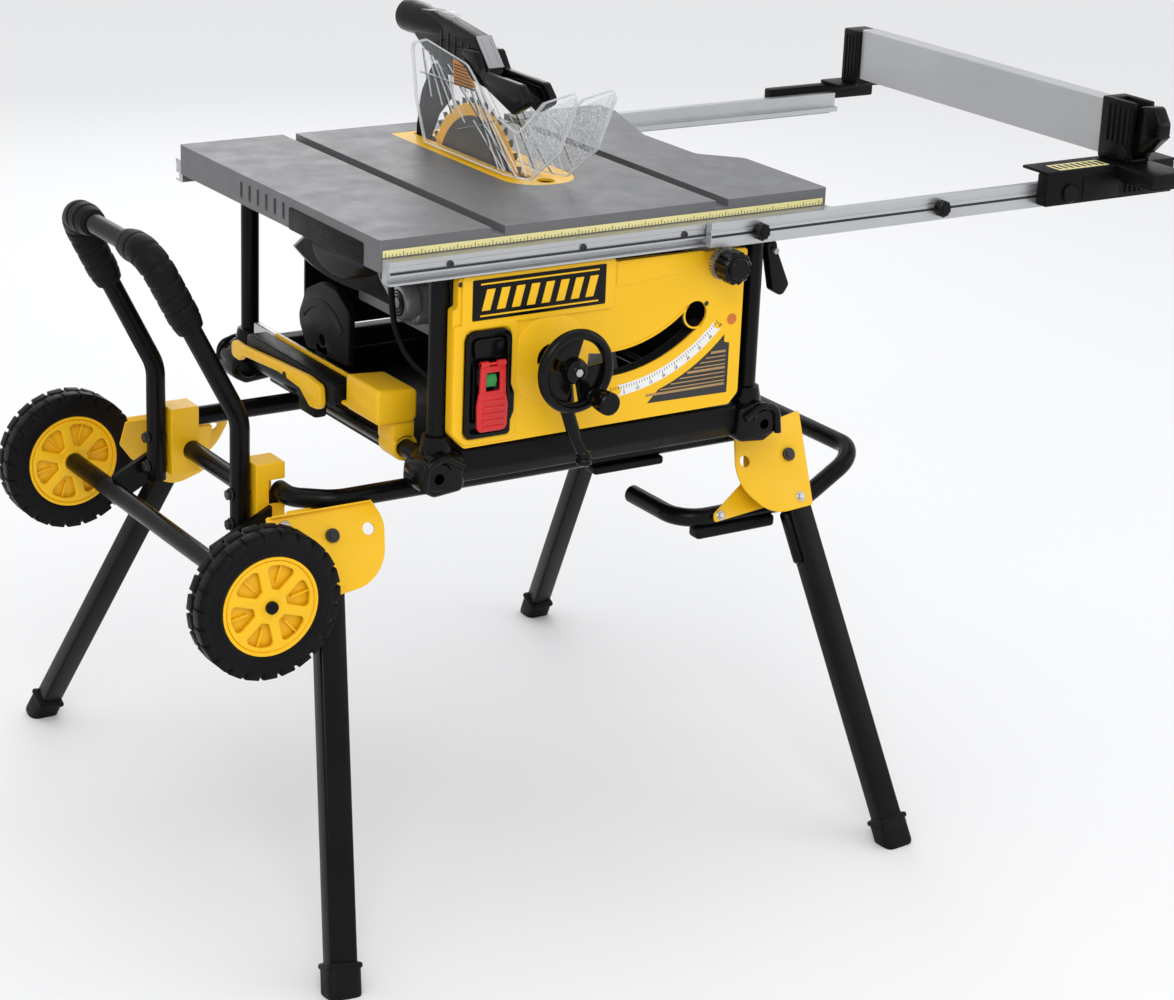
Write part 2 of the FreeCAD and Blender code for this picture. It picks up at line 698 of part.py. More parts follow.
def rip_fence():
    low, high = dim.fence_low, dim.fence_high
    outer = [(dim.fence_x, low, 1), (dim.fence_x + dim.fence_thick, low, 1),
             (dim.fence_x + dim.fence_thick, high, 2), (dim.fence_x, high, 2)]
    left, right = dim.fence_x + 3, dim.fence_x + dim.fence_thick - 3
    lower = rectangle(left, low + 3, right, (low + high) / 2 - 1.5, 1)
    upper = rectangle(left, (low + high) / 2 + 1.5, right, high - 3, 1)
    node("rip_fence", plate("rip_fence", "XZ_Plane", -269, 549, [outer, lower, upper]))
    front = block((812, -341, 0), (42, 61, 86))
    window = block((822, -342, -1), (22, 24, 88))
    front_bracket = cut(front, window, rod((805, -330, 14), 4, 60, "x"))
    rear = block((812, 269, -6), (42, 40, 84))
    foot = block((824, 309, -6), (20, 14, 40))
    knobs = [fuse(rod((x, -325, -36), 11, 12, "y"), rod((x, -328, -36), 6, 4, "y")) for x in (204, 504)]
    pin = rod((808, -330, 14), 4, 50, "x")
    node("fence_brackets", together(front_bracket, fuse(rear, foot), pin, *knobs))
    lever = [(-337, 8, 5), (-323, 8, 5), (-323, 22, 6), (-340, 40, 6), (-346, 82, 6), (-372, 85, 10),
             (-387, 62, 12), (-387, 42, 8), (-362, 20, 8)]
    paddle = plate("fence_latch_lever", "YZ_Plane", 822.3, 21.4, [lever], [(-330, 14, 4.05)])
    node("fence_latch_lever", paddle)


# ---------------------------------------------------------------- stand

def stand_tubes():
    z = dim.stand_z
    front_y, rear_y = dim.front_pivot_y + 20, dim.rear_pivot_y - 22
    front = bent_tube([(-396, -141, z), (-396, -172, z), (-352, front_y, z), (343, front_y, z)], [26, 50])
    rear = bent_tube([(-396, 141, z), (-396, 158, z), (-366, rear_y, z), (343, rear_y, z)], [20, 24])
    cross = Part.makeCylinder(dim.tube_radius, 280, Vector(-400, -140, -372), Vector(0, 1, 0))
    shape_node("stand_tubes", Part.makeCompound([front, rear, cross, foot_loop()]))


HANDLE_BOLTS = [(y, z) for y in (-125, 125) for z in (-352, -392)]


def handle():
    path = [(dim.handle_x, -125, -412), (dim.handle_x, -125, -254), (-558, -118, -32),
            (-558, 118, -32), (dim.handle_x, 125, -254), (dim.handle_x, 125, -412)]
    tube = bent_tube(path, [60, 34, 34, 60])
    shape_node("handle_tube", tube.cut(handle_bolt_holes()))


def handle_bolt_holes():
    return [Part.makeCylinder(dim.bolt_radius + 0.05, 50, Vector(-465, y, z), Vector(1, 0, 0))
            for y, z in HANDLE_BOLTS]


def handle_bolts():
    """Through bolts that hold the handle's tube against the two channels."""
    bolts = []
    for y, z in HANDLE_BOLTS:
        head = rod((-461, y, z), 6.5, 5.2, "x")
        nut = rod((-427, y, z), 6.5, 5, "x")
        bolts.append(fuse(head, rod((-458, y, z), "bolt_radius", 34, "x"), nut))
    return bolts


def handle_brackets():
    """Folded channels between the handle's tube and the stand."""
    brackets = []
    for side in (-1, 1):
        low_y = 105 if side > 0 else -145
        shell = block((-430, low_y, -404), (40, 40, 92))
        room = block((-427, low_y + 3, -405), (38, 34, 90))
        hole = rod((-400, -141, -372), "tube_radius", 282, "y")
        tube_gap = block((-412, low_y - 5 if side < 0 else low_y + 35, -366), (32, 12, 32))
        holes = free_shape(Part.makeCompound(handle_bolt_holes()))
        brackets.append(cut(cut(shell, room, hole, tube_gap), holes))
    node("handle_brackets", together(*brackets))


def axle():
    shaft = rod(("wheel_x", "-wheel_inner + 2", "wheel_z"), "axle_radius", "2 * wheel_inner - 4", "y")
    ends = [rod(("wheel_x", y, "wheel_z"), 8, 44, "y") for y in (-322, 278)]
    arms = []
    for y in (-153, 145):
        arm = [(-496, -408), (-412, -366), (-412, -404), (-488, -445)]
        face = Part.Face(Part.makePolygon([Vector(u, y, v) for u, v in arm + arm[:1]]))
        bore_start = Vector(dim.wheel_x, y - 4, dim.wheel_z)
        bore = Part.makeCylinder(dim.axle_radius, 20, bore_start, Vector(0, 1, 0))
        arms.append(free_shape(face.extrude(Vector(0, 8, 0)).cut(bore)))
    node("axle", fuse(shaft, *ends, *arms))


def foot_loop():
    z, high = -460, -404
    front_y, rear_y = -222, 195
    path = [(173, -100, z), (173, front_y, z), (378, front_y, z), (470, front_y, high),
            (470, rear_y, high), (378, rear_y, z), (173, rear_y, z), (173, 90, z)]
    return bent_tube(path, [40, 60, 40, 40, 60, 40])


def grips_and_rests():
    """Rubber grips round the handle's corners and the pads the folded stand rests on."""
    pieces = []
    for side in (-1, 1):
        low = Vector(dim.handle_x, 125 * side, -254)
        corner = Vector(-558, 118 * side, -32)
        start = low + (corner - low) * 0.548
        grip = bent_tube([start, corner, (-558, 48 * side, -32)], [34], 20.5, 20.5 - dim.tube_radius)
        pieces.append(free_shape(grip))
    for y in (-222, 195):
        pieces.append(block((200, y - 12, -482), (130, 24, 10)))
    for y in (-206, 174):
        pieces.append(block((30, y - 13, -374), (110, 26, 12)))
    node("grips_and_rests", together(*pieces))


# ---------------------------------------------------------------- stored accessories and lead

def storage():
    clamp = cut(block((-284, -205, -318), (60, 95, 86)), rod((-242, -210, -302), 12, 110, "y"))
    tray = block((-290, -110, -262), (62, 270, 5))
    lip = block((-293, -110, -262), (4, 270, 16))
    peg = rod((-308, 20, -256), 5, 16, "x")
    node("storage_bracket", fuse(clamp, tray, lip, peg))
    stick = [(-80, -276, 10), (-80, -240, 14), (-30, -236, 10), (180, -262, 14), (262, -266, 14),
             (268, -296, 12), (220, -300, 10), (-30, -262, 10), (-60, -282, 8)]
    node("push_stick", plate("push_stick", "YZ_Plane", -306, 8, [stick], [(20, -256, 5)]))
    bar = block((-262, -70, -257), (9.5, 270, 19))
    pivot = rod((-252.5, 20, -246), 3, 16, "x")
    node("mitre_bar", fuse(bar, pivot))
    head = [(-54, -230, 4), (-54, -158, 12), (12, -138, 40), (62, -152, 20), (88, -200, 30),
            (60, -236, 10)]
    disc = plate("mitre_disc", "YZ_Plane", -252.3, 10, [head], [(20, -216, 8)])
    tab = cut(block((-252.3, 5, -253.5), (10, 30, 28)), rod((-256, 20, -246), 3.05, 20, "x"))
    node("mitre_head", fuse(disc, tab))


def lead_bends(points):
    """Each bend as large as its two runs allow."""
    bends = []
    for before, here, after in zip(points, points[1:], points[2:]):
        back = Vector(*before) - Vector(*here)
        ahead = Vector(*after) - Vector(*here)
        turn = math.pi - back.getAngle(ahead)
        bends.append(0.45 * min(back.Length, ahead.Length) / math.tan(turn / 2))
    return bends


def motor_lead():
    """Rubber cable held between the switch box and the table's underside."""
    route = [(-192, -251, -215), (-194, -222, -219), (-210, -192, -214), (-230, -168, -190),
             (-241, -152, -150), (-243, -146, -98), (-242, -144, -41)]
    shape_node("motor_lead", bent_tube(route, lead_bends(route), 4, 0))


# ---------------------------------------------------------------- folding legs

def leg_frame(side_x, side_y):
    """Pivot point, leg direction and outward normal of a splayed leg's plane."""
    pivot_x = dim.left_pivot_x if side_x < 0 else dim.right_pivot_x
    pivot_y = dim.front_pivot_y if side_y < 0 else dim.rear_pivot_y
    foot_x = dim.left_foot_x if side_x < 0 else dim.right_foot_x
    pivot = Vector(pivot_x, pivot_y, dim.pivot_z)
    foot = Vector(foot_x, side_y * dim.foot_y, -dim.row_z)
    down = Vector(0, foot.y - pivot.y, foot.z - pivot.z).normalize()
    normal = down.cross(Vector(1, 0, 0)).normalize()
    return pivot, foot, down, normal


def leg(name, side_x, side_y):
    pivot, foot, down, normal = leg_frame(side_x, side_y)
    along = pivot - foot
    length = along.Length
    along.normalize()
    frame = Placement(pivot, Rotation(normal.cross(along), normal, along, "ZXY"))
    half, wall = dim.leg_size / 2, dim.leg_wall
    body = new_body(f"{name}_leg")
    outer = rectangle(-half, -half, half, half, 4)
    inner = rectangle(-half + wall, -half + wall, half - wall, half - wall, 2)
    pad(body, sketch_on(body, "XY_Plane", -length + 12, [outer, inner]), length + 6)
    cross = sketch_on(body, "XZ_Plane", 0, [], [(0, 0, 5.05)])
    bore = pocket(body, cross, 60)
    bore.Midplane = True
    node(f"{name}_leg", body, frame)
    foot_node(name, frame, length, half)


def foot_node(name, frame, length, half):
    """Rubber cap, cut flat where it meets the floor."""
    cap = Part.makeBox(46, 46, 52, Vector(-23, -23, -length - 10))
    cap = cap.makeFillet(7, [edge for edge in cap.Edges if abs(edge.tangentAt(0).z) > 0.9])
    socket = Part.makeBox(2 * half, 2 * half, 60, Vector(-half, -half, -length + 12))
    cap = cap.cut(socket).Solids[0]
    cap.Placement = frame
    middle = cap.CenterOfMass
    floor = Part.makeBox(400, 400, 100, Vector(middle.x - 200, middle.y - 200, -dim.row_z - 100))
    shape_node(f"{name}_foot", cap.cut(floor))


# Outlines in a bracket's own plane from the pivot: away from the saw's middle, then up the leg.
LEFT_PLATE = [(-65, 36), (-66, -4), (-50, -44), (-8, -70), (40, -60), (83, -10), (83, 36)]
LEFT_EAR = [(-30, 42), (40, 42), (40, -50), (20, -62), (-20, -60), (-40, -30)]
RIGHT_PLATE = [(-76, 38), (34, 58), (24, -73), (-30, -72), (-64, -52), (-80, -24), (-82, 11)]
RIGHT_EAR = [(-40, 48), (30, 48), (38, -58), (24, -68), (-30, -64), (-120, -72), (-118, -60), (-58, -23)]


def leg_brackets(side_x, side_y):
    """Folded sheet bracket: an outer sector plate, an inner ear and the pivot pin between them."""
    pivot, foot, down, normal = leg_frame(side_x, side_y)
    outward = normal if normal.y * side_y > 0 else -normal
    up = -down
    frame = Placement(pivot, Rotation(outward.cross(up), outward, up, "ZXY"))
    away = side_x if outward.cross(up).x > 0 else -side_x
    plate_points, ear_points = (LEFT_PLATE, LEFT_EAR) if side_x < 0 else (RIGHT_PLATE, RIGHT_EAR)
    detent = (-52 if side_x < 0 else -70, 1, 8)
    plate_offset, ear_offset = 14.6, -14.6 - dim.sheet_metal
    pieces = []
    for points, offset, holes in ((plate_points, plate_offset, [(0, 0, 5), detent]),
                                  (ear_points, ear_offset, [(0, 0, 5)])):
        polygon = [Vector(u * away, offset, v) for u, v in points]
        face = Part.Face(Part.makePolygon(polygon + polygon[:1]))
        sheet_metal = face.extrude(Vector(0, dim.sheet_metal, 0))
        for u, v, radius in holes:
            start = Vector(u * away, offset - 2, v)
            sheet_metal = sheet_metal.cut(Part.makeCylinder(radius, 8, start, Vector(0, 1, 0)))
        pieces.append(sheet_metal)
    pair = Part.makeCompound(pieces)
    pair.Placement = frame
    return pair, pivot_pin(frame)


def pivot_pin(frame):
    pin = Part.makeCylinder(5, 44, Vector(0, -21, 0), Vector(0, 1, 0))
    heads = [Part.makeCylinder(9, 4, Vector(0, y, 0), Vector(0, 1, 0)) for y in (-21.6, 17.6)]
    pin = pin.fuse(heads).removeSplitter()
    pin.Placement = frame
    return pin


# ---------------------------------------------------------------- wheels

def wheel(name, side):
    y = -dim.wheel_inner - dim.wheel_width if side < 0 else dim.wheel_inner
    x, z = dim.wheel_x, dim.wheel_z
    tyre = cut(rod((x, y, z), "tyre_radius", "wheel_width", "y"),
               rod((x, y - 1, z), "rim_radius", "wheel_width + 2", "y"))
    node(f"{name}_tyre", tyre)
    blank = rod((x, y + 2, z), "rim_radius", "wheel_width - 4", "y")
    bore = rod((x, y - 1, z), 8.05, "wheel_width + 2", "y")
    cup_y = y - 1 if side < 0 else y + 26
    cups = [turned(rod((x + 38, cup_y, z), 10, 16, "y"), Rotation(Vector(0, 1, 0), 60 * k), Vector(x, 0, z))
            for k in range(6)]
    node(f"{name}_rim", cut(blank, bore, *cups))


# ---------------------------------------------------------------- build

def build():
    table_top()
    throat_plate()
    fixed_rails()
    side_pod()
    cage()
    dust_tray()
    front_panel()
    switch_box()
    table_brackets()
    rear_cover()
    tilt_frame()
    elevation_screw()
    lift_bracket()
    gear_case()
    motor()
    arbor()
    saw_blade()
    riving_knife()
    guard_arm()
    side_guards()
    handwheel()
    crank_handle()
    lock_lever()
    switch_parts()
    rail_controls()
    moving_rails()
    fence_carriages()
    rip_fence()
    stand_tubes()
    handle()
    handle_brackets()
    axle()
    grips_and_rests()
    storage()
    motor_lead()
    plates, pins = [], []
    for name, side_x, side_y in (("front_left", -1, -1), ("front_right", 1, -1),
                                 ("rear_left", -1, 1), ("rear_right", 1, 1)):
        leg(name, side_x, side_y)
        pair, pin = leg_brackets(side_x, side_y)
        plates.append(pair)
        pins.append(pin)
    shape_node("leg_brackets", Part.makeCompound([solid for pair in plates for solid in pair.Solids]))
    pins = [free_shape(pin) for pin in pins]
    node("fasteners", together(*rail_screws(), *handle_bolts(), *pins))
    wheel("front", -1)
    wheel("rear", 1)


def check_and_write():
    doc.recompute()
    for obj in doc.Objects:
        if "Invalid" in obj.State or "Error" in obj.State:
            raise RuntimeError(f"{obj.Label} is {obj.State}")
    os.makedirs("parts", exist_ok=True)
    for part in NODES:
        if part.Shape.isNull() or not part.Shape.isValid():
            raise RuntimeError(f"{part.Label} has no valid shape")
        part.Shape.exportStep(f"parts/{part.Label}.step")
    print(len(NODES), "sub-parts")


build()
check_and_write()
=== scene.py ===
import math

import bmesh
import bpy
from mathutils import Matrix, Vector


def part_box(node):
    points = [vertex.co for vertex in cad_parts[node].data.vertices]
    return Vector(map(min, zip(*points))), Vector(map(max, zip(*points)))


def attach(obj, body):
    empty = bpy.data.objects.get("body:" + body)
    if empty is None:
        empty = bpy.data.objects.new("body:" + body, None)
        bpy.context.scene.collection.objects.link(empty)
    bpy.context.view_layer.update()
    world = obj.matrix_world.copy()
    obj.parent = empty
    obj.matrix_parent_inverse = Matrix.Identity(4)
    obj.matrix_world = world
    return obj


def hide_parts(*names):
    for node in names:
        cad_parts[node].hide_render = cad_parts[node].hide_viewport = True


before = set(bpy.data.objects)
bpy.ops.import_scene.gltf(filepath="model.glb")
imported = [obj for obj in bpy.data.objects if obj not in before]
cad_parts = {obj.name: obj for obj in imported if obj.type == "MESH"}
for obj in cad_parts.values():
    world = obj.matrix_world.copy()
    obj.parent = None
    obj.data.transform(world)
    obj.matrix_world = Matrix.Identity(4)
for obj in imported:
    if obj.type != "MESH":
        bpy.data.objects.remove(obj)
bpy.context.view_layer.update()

# The pieces are drawn in millimetres about the centre of the table's top face, as the saw's parts are:
# X to the operator's right, Y to the rear, Z up.  ORIGIN is where that point stands in the frame.
MM = 0.001
TABLE_LOW, TABLE_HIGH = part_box("table_top")
ORIGIN = Vector((TABLE_LOW[0] + 333.5 * MM, (TABLE_LOW[1] + TABLE_HIGH[1]) / 2, TABLE_HIGH[2]))


def at(x, y, z):
    return ORIGIN + Vector((x, y, z)) * MM


# ---------------------------------------------------------------- camera, floor and light

def make_camera():
    turn, tip, lean = math.radians(-33.53), math.radians(19.76), math.radians(2.38)
    ahead = Vector((-math.sin(turn) * math.cos(tip), math.cos(turn) * math.cos(tip), -math.sin(tip)))
    right = Vector((math.cos(turn), math.sin(turn), 0))
    above = right.cross(ahead)
    leaned = right * math.cos(lean) + above * math.sin(lean)
    upward = above * math.cos(lean) - right * math.sin(lean)
    camera = bpy.data.objects.new("camera", bpy.data.cameras.new("camera"))
    bpy.context.collection.objects.link(camera)
    camera.data.sensor_width = 36
    camera.data.lens = 86.93
    camera.data.clip_end = 50
    camera.matrix_world = Matrix.Translation(at(-1932, -3163, 863)) @ Matrix(
        (leaned, upward, -ahead)).transposed().to_4x4()
    bpy.context.scene.camera = camera


def area_light(name, place, aim, size, power):
    light = bpy.data.objects.new(name, bpy.data.lights.new(name, "AREA"))
    light.data.size = size
    light.data.energy = power
    light.location = place
    light.rotation_euler = (Vector(aim) - Vector(place)).to_track_quat("-Z", "Y").to_euler()
    bpy.context.collection.objects.link(light)


def make_stage():
    floor_mesh = bpy.data.meshes.new("floor")
    reach = 14
    floor_mesh.from_pydata([(-reach, -reach, 0), (reach, -reach, 0), (reach, reach, 0), (-reach, reach, 0)],
                           [], [(0, 1, 2, 3)])
    floor = bpy.data.objects.new("floor", floor_mesh)
    bpy.context.collection.objects.link(floor)
    paint = bpy.data.materials.new("floor_white")
    paint.use_nodes = True
    shader = paint.node_tree.nodes["Principled BSDF"]
    shader.inputs["Base Color"].default_value = (0.86, 0.86, 0.86, 1)
    shader.inputs["Roughness"].default_value = 0.8
    floor_mesh.materials.append(paint)
    world = bpy.data.worlds.new("studio")
    world.use_nodes = True
    world.node_tree.nodes["Background"].inputs["Color"].default_value = (0.97, 0.98, 1.0, 1)
    world.node_tree.nodes["Background"].inputs["Strength"].default_value = 0.92
    bpy.context.scene.world = world
    bpy.context.scene.view_settings.view_transform = "Standard"
    area_light("key", (-2.2, -3.4, 3.6), (0.1, 0, 0.7), 2.2, 60)
    area_light("fill", (3.2, -2.6, 1.8), (0.1, 0, 0.6), 2.0, 14)
    area_light("top", (0.3, 0.8, 3.6), (0, 0, 0.8), 2.4, 14)
    area_light("back", (1.2, 3.6, 2.2), (0, 0, 0.7), 2.0, 16)


# ---------------------------------------------------------------- materials

def link(tree, source, target):
    tree.links.new(source, target)


def noise(tree, coords, scale, detail=3.0, stretch=(1, 1, 1)):
    mapping = tree.nodes.new("ShaderNodeMapping")
    mapping.inputs["Scale"].default_value = stretch
    link(tree, coords, mapping.inputs["Vector"])
    texture = tree.nodes.new("ShaderNodeTexNoise")
    texture.inputs["Scale"].default_value = scale
    texture.inputs["Detail"].default_value = detail
    link(tree, mapping.outputs["Vector"], texture.inputs["Vector"])
    return texture.outputs["Fac"]


def remap(tree, value, low, high, start=0.3, end=0.7):
    node = tree.nodes.new("ShaderNodeMapRange")
    node.inputs["From Min"].default_value = start
    node.inputs["From Max"].default_value = end
    node.inputs["To Min"].default_value = low
    node.inputs["To Max"].default_value = high
    link(tree, value, node.inputs["Value"])
    return node.outputs["Result"]


def blend_colours(tree, factor, first, second):
    node = tree.nodes.new("ShaderNodeMix")
    node.data_type = "RGBA"
    for socket, colour in ((node.inputs[6], first), (node.inputs[7], second)):
        if isinstance(colour, tuple):
            socket.default_value = (*colour[:3], 1)
        else:
            link(tree, colour, socket)
    link(tree, factor, node.inputs[0])
    return node.outputs[2]


def shade(colour, amount):
    return tuple(max(0.0, min(1.0, part * amount)) for part in colour)


def finish_of(name, colour, rough, metal=0.0, tint=0.08, blotch=9, grain=900, bump=0.12,
              stretch=(1, 1, 1), **sockets):
    """A surface whose colour, roughness and relief all vary a little, at the finish's own scale."""
    material = bpy.data.materials.new(name)
    material.use_nodes = True
    tree = material.node_tree
    shader = tree.nodes["Principled BSDF"]
    coords = tree.nodes.new("ShaderNodeTexCoord").outputs["Object"]
    broad = noise(tree, coords, blotch)
    fine = noise(tree, coords, grain, 2.0, stretch)
    base = blend_colours(tree, remap(tree, broad, 0, 1), shade(colour, 1 - tint), shade(colour, 1 + tint))
    base = blend_colours(tree, remap(tree, fine, 0, 0.35), base, shade(colour, 1 - 2 * tint))
    link(tree, base, shader.inputs["Base Color"])
    roughness = remap(tree, noise(tree, coords, 30, 5.0), rough - 0.06, rough + 0.08)
    link(tree, roughness, shader.inputs["Roughness"])
    relief = tree.nodes.new("ShaderNodeBump")
    relief.inputs["Strength"].default_value = bump
    relief.inputs["Distance"].default_value = 0.0006
    link(tree, fine, relief.inputs["Height"])
    link(tree, relief.outputs["Normal"], shader.inputs["Normal"])
    shader.inputs["Metallic"].default_value = metal
    for socket, value in sockets.items():
        shader.inputs[socket.replace("_", " ")].default_value = value
    return material


YELLOW = (0.90, 0.51, 0.008)
BLACK = (0.004, 0.004, 0.0045)

GREY_TABLE = finish_of("grey_table_coat", (0.132, 0.134, 0.138), 0.42, 0.15, 0.02, 7, 1400, 0.16)
ALUMINIUM = finish_of("anodised_aluminium", (0.50, 0.51, 0.52), 0.34, 0.80, 0.05, 5, 500, 0.10, (0.04, 1, 1))
FENCE_METAL = finish_of("fence_aluminium", (0.46, 0.465, 0.47), 0.42, 0.3, 0.05, 5, 700, 0.08, (1, 0.03, 1))
YELLOW_PAINT = finish_of("yellow_powder_coat", YELLOW, 0.34, 0.0, 0.05, 8, 1500, 0.14,
                         Specular_IOR_Level=0.35)
YELLOW_PLASTIC = finish_of("yellow_moulding", YELLOW, 0.38, 0.0, 0.04, 6, 2200, 0.20,
                           Specular_IOR_Level=0.3)
BLACK_PAINT = finish_of("black_frame_paint", BLACK, 0.22, 0.0, 0.3, 10, 1300, 0.12, Specular_IOR_Level=0.12)
BLACK_PLASTIC = finish_of("black_moulding", (0.005, 0.005, 0.0055), 0.36, 0.0, 0.25, 12, 2400, 0.25,
                          Specular_IOR_Level=0.10)
GLOSS_BLACK = finish_of("gloss_black_moulding", (0.003, 0.003, 0.0035), 0.16, 0.0, 0.2, 10, 1800, 0.06,
                        Specular_IOR_Level=0.16)
RUBBER = finish_of("grip_rubber", (0.005, 0.005, 0.0055), 0.42, 0.0, 0.3, 20, 2600, 0.30,
                   Specular_IOR_Level=0.11)
TYRE = finish_of("tyre_rubber", (0.006, 0.006, 0.0065), 0.40, 0.0, 0.3, 16, 1900, 0.30,
                 Specular_IOR_Level=0.10)
STEEL = finish_of("zinc_steel", (0.52, 0.51, 0.49), 0.30, 0.9, 0.12, 25, 900, 0.10)
CAST = finish_of("cast_alloy", (0.40, 0.41, 0.42), 0.45, 0.75, 0.10, 12, 700, 0.40)
KNIFE_COAT = finish_of("knife_coat", (0.004, 0.004, 0.004), 0.5, 0.0, 0.3, 30, 1200, 0.08,
                       Specular_IOR_Level=0.05)
# Dark steel for bolts and screw heads; the same finish is also painted shade on the rails' dark strips, the
# rack's tooth gaps and the bevel slot's back wall.
DARK_STEEL_AND_SHADE = finish_of("dark_steel_and_painted_shade", (0.02, 0.02, 0.021), 0.30, 0.3, 0.15, 14, 900, 0.12)
RED = finish_of("red_moulding", (0.62, 0.012, 0.012), 0.36, 0.0, 0.06, 10, 2000, 0.16)
GREEN = finish_of("green_button", (0.02, 0.26, 0.05), 0.38, 0.0, 0.06, 10, 2000, 0.16)
WHITE_FILM = finish_of("white_scale_film", (0.80, 0.80, 0.78), 0.38, 0.0, 0.03, 10, 1600, 0.05)
TAPE = finish_of("pale_yellow_tape", (0.82, 0.74, 0.34), 0.40, 0.0, 0.05, 10, 1600, 0.05)
# Black ink for print and marks; the same finish is the painted shade of the panel's holes.
INK_AND_HOLE_SHADE = finish_of("black_ink_and_hole_shade", (0.015, 0.015, 0.015), 0.45, 0.0, 0.1, 10, 1600, 0.05)


BLADE_CENTRE = (0, 57, -47)


def vector_step(tree, operation, vector, second=None):
    node = tree.nodes.new("ShaderNodeVectorMath")
    node.operation = operation
    if second:
        node.inputs[1].default_value = second
    link(tree, vector, node.inputs[0])
    return node


def blade_finish():
    """Steel, with a yellow non-stick band near the teeth."""
    material = finish_of("blade_plate", (0.07, 0.062, 0.05), 0.34, 0.6, 0.25, 26, 900, 0.05)
    tree = material.node_tree
    shader = tree.nodes["Principled BSDF"]
    coords = tree.nodes.new("ShaderNodeTexCoord").outputs["Object"]
    offset = vector_step(tree, "SUBTRACT", coords, at(*BLADE_CENTRE)).outputs[0]
    flat = vector_step(tree, "MULTIPLY", offset, (0, 1, 1)).outputs[0]
    radius = vector_step(tree, "LENGTH", flat).outputs["Value"]
    both = tree.nodes.new("ShaderNodeMath")
    both.operation = "MULTIPLY"
    link(tree, remap(tree, radius, 0, 1, 0.1015, 0.1025), both.inputs[0])
    link(tree, remap(tree, radius, 1, 0, 0.1185, 0.1195), both.inputs[1])
    old = shader.inputs["Base Color"].links[0].from_socket
    link(tree, blend_colours(tree, both.outputs[0], old, (0.95, 0.50, 0.005)), shader.inputs["Base Color"])
    link(tree, remap(tree, both.outputs[0], 0.9, 0.1, 0, 1), shader.inputs["Metallic"])
    return material


def clear_finish():
    """Clear moulded plastic: bright where it turns away, with a faint pebbled relief."""
    material = finish_of("clear_guard_plastic", (0.74, 0.76, 0.78), 0.08, 0.0, 0.03, 30, 260, 0.5)
    tree = material.node_tree
    shader = tree.nodes["Principled BSDF"]
    facing = tree.nodes.new("ShaderNodeLayerWeight")
    facing.inputs["Blend"].default_value = 0.35
    link(tree, remap(tree, facing.outputs["Facing"], 0.03, 0.40, 0.30, 1.0), shader.inputs["Alpha"])
    shader.inputs["Specular IOR Level"].default_value = 0.8
    return material


def frosted_finish():
    """Pebbled clear plastic, whiter than the plain kind."""
    material = finish_of("pebbled_guard_plastic", (0.80, 0.82, 0.84), 0.16, 0.0, 0.10, 60, 180, 1.0)
    tree = material.node_tree
    shader = tree.nodes["Principled BSDF"]
    coords = tree.nodes["Texture Coordinate"].outputs["Object"]
    link(tree, remap(tree, noise(tree, coords, 240, 6.0), 0.10, 0.55, 0.42, 0.62), shader.inputs["Alpha"])
    shader.inputs["Specular IOR Level"].default_value = 0.8
    return material


BLADE = blade_finish()
CLEAR = clear_finish()
FROSTED = frosted_finish()
# A lighter, more opaque copy of the clear plastic for the guards' rims and ribs: painted highlight.
CLEAR_PAINTED_HIGHLIGHT = finish_of("guard_painted_highlight", (0.88, 0.90, 0.92), 0.12, 0.0, 0.1, 40, 300, 0.3, Alpha=0.42)
# A near-black copy of the clear plastic for strips beside the ribs: painted shade.
CLEAR_PAINTED_SHADE = finish_of("guard_painted_shade", (0.05, 0.055, 0.06), 0.12, 0.0, 0.2, 40, 300, 0.3, Alpha=0.45)


# ---------------------------------------------------------------- shapes, in millimetres

def mesh_of(build):
    """A mesh from a bmesh drawn in millimetres about the table's centre."""
    mesh = bpy.data.meshes.new("shape")
    build.transform(Matrix.Scale(MM, 4))
    build.transform(Matrix.Translation(ORIGIN))
    build.to_mesh(mesh)
    build.free()
    return mesh


def blocks(*rows):
    """Several boxes, each with its own low corner, high corner and bevel."""
    return [block(*row) for row in rows]


def block(low, high, bevel, steps=2):
    """A box with rounded edges."""
    build = bmesh.new()
    bmesh.ops.create_cube(build, size=1)
    low, high = Vector(low), Vector(high)
    build.transform(Matrix.Diagonal((high - low).to_4d()))
    build.transform(Matrix.Translation((low + high) / 2))
    if bevel:
        bmesh.ops.bevel(build, geom=build.edges[:], offset=bevel, segments=steps, affect="EDGES", profile=0.5)
    return mesh_of(build)


AXES = {"x": Matrix.Rotation(math.radians(90), 4, "Y"), "y": Matrix.Rotation(math.radians(-90), 4, "X"),
        "z": Matrix.Identity(4)}


def lathe(profile, place, axis, steps):
    """Turn (radius, height) points about an axis through a place; height runs along +axis.
    A profile that ends where it starts makes a hollow ring."""
    build = bmesh.new()
    rings = []
    hollow = profile[0] == profile[-1]
    if hollow:
        profile = profile[:-1]
    around = [(math.cos(math.tau * k / steps), math.sin(math.tau * k / steps)) for k in range(steps)]
    for radius, height in profile:
        spots = around if radius else around[:1]
        rings.append([build.verts.new((radius * u, radius * v, height)) for u, v in spots])
    for lower, upper in zip(rings, rings[1:] + rings[:1] if hollow else rings[1:]):
        for k in range(steps):
            following = (k + 1) % steps
            corners = [lower[k % len(lower)], lower[following % len(lower)],
                       upper[following % len(upper)], upper[k % len(upper)]]
            corners = list(dict.fromkeys(corners))
            if len(corners) > 2:
                build.faces.new(corners)
    for ring in ((), ()) if hollow else (rings[0], rings[-1]):
        if len(ring) > 2:
            build.faces.new(ring)
    bmesh.ops.recalc_face_normals(build, faces=build.faces[:])
    build.transform(AXES[axis])
    build.transform(Matrix.Translation(Vector(place)))
    return mesh_of(build)


def band(inner, outer, low, high):
    """The square section of a ring, for lathe()."""
    return [(inner, low), (outer, low), (outer, high), (inner, high), (inner, low)]


def rod(radius, length, place, axis, steps):
    return lathe([(0, 0), (radius, 0), (radius, length), (0, length)], place, axis, steps)


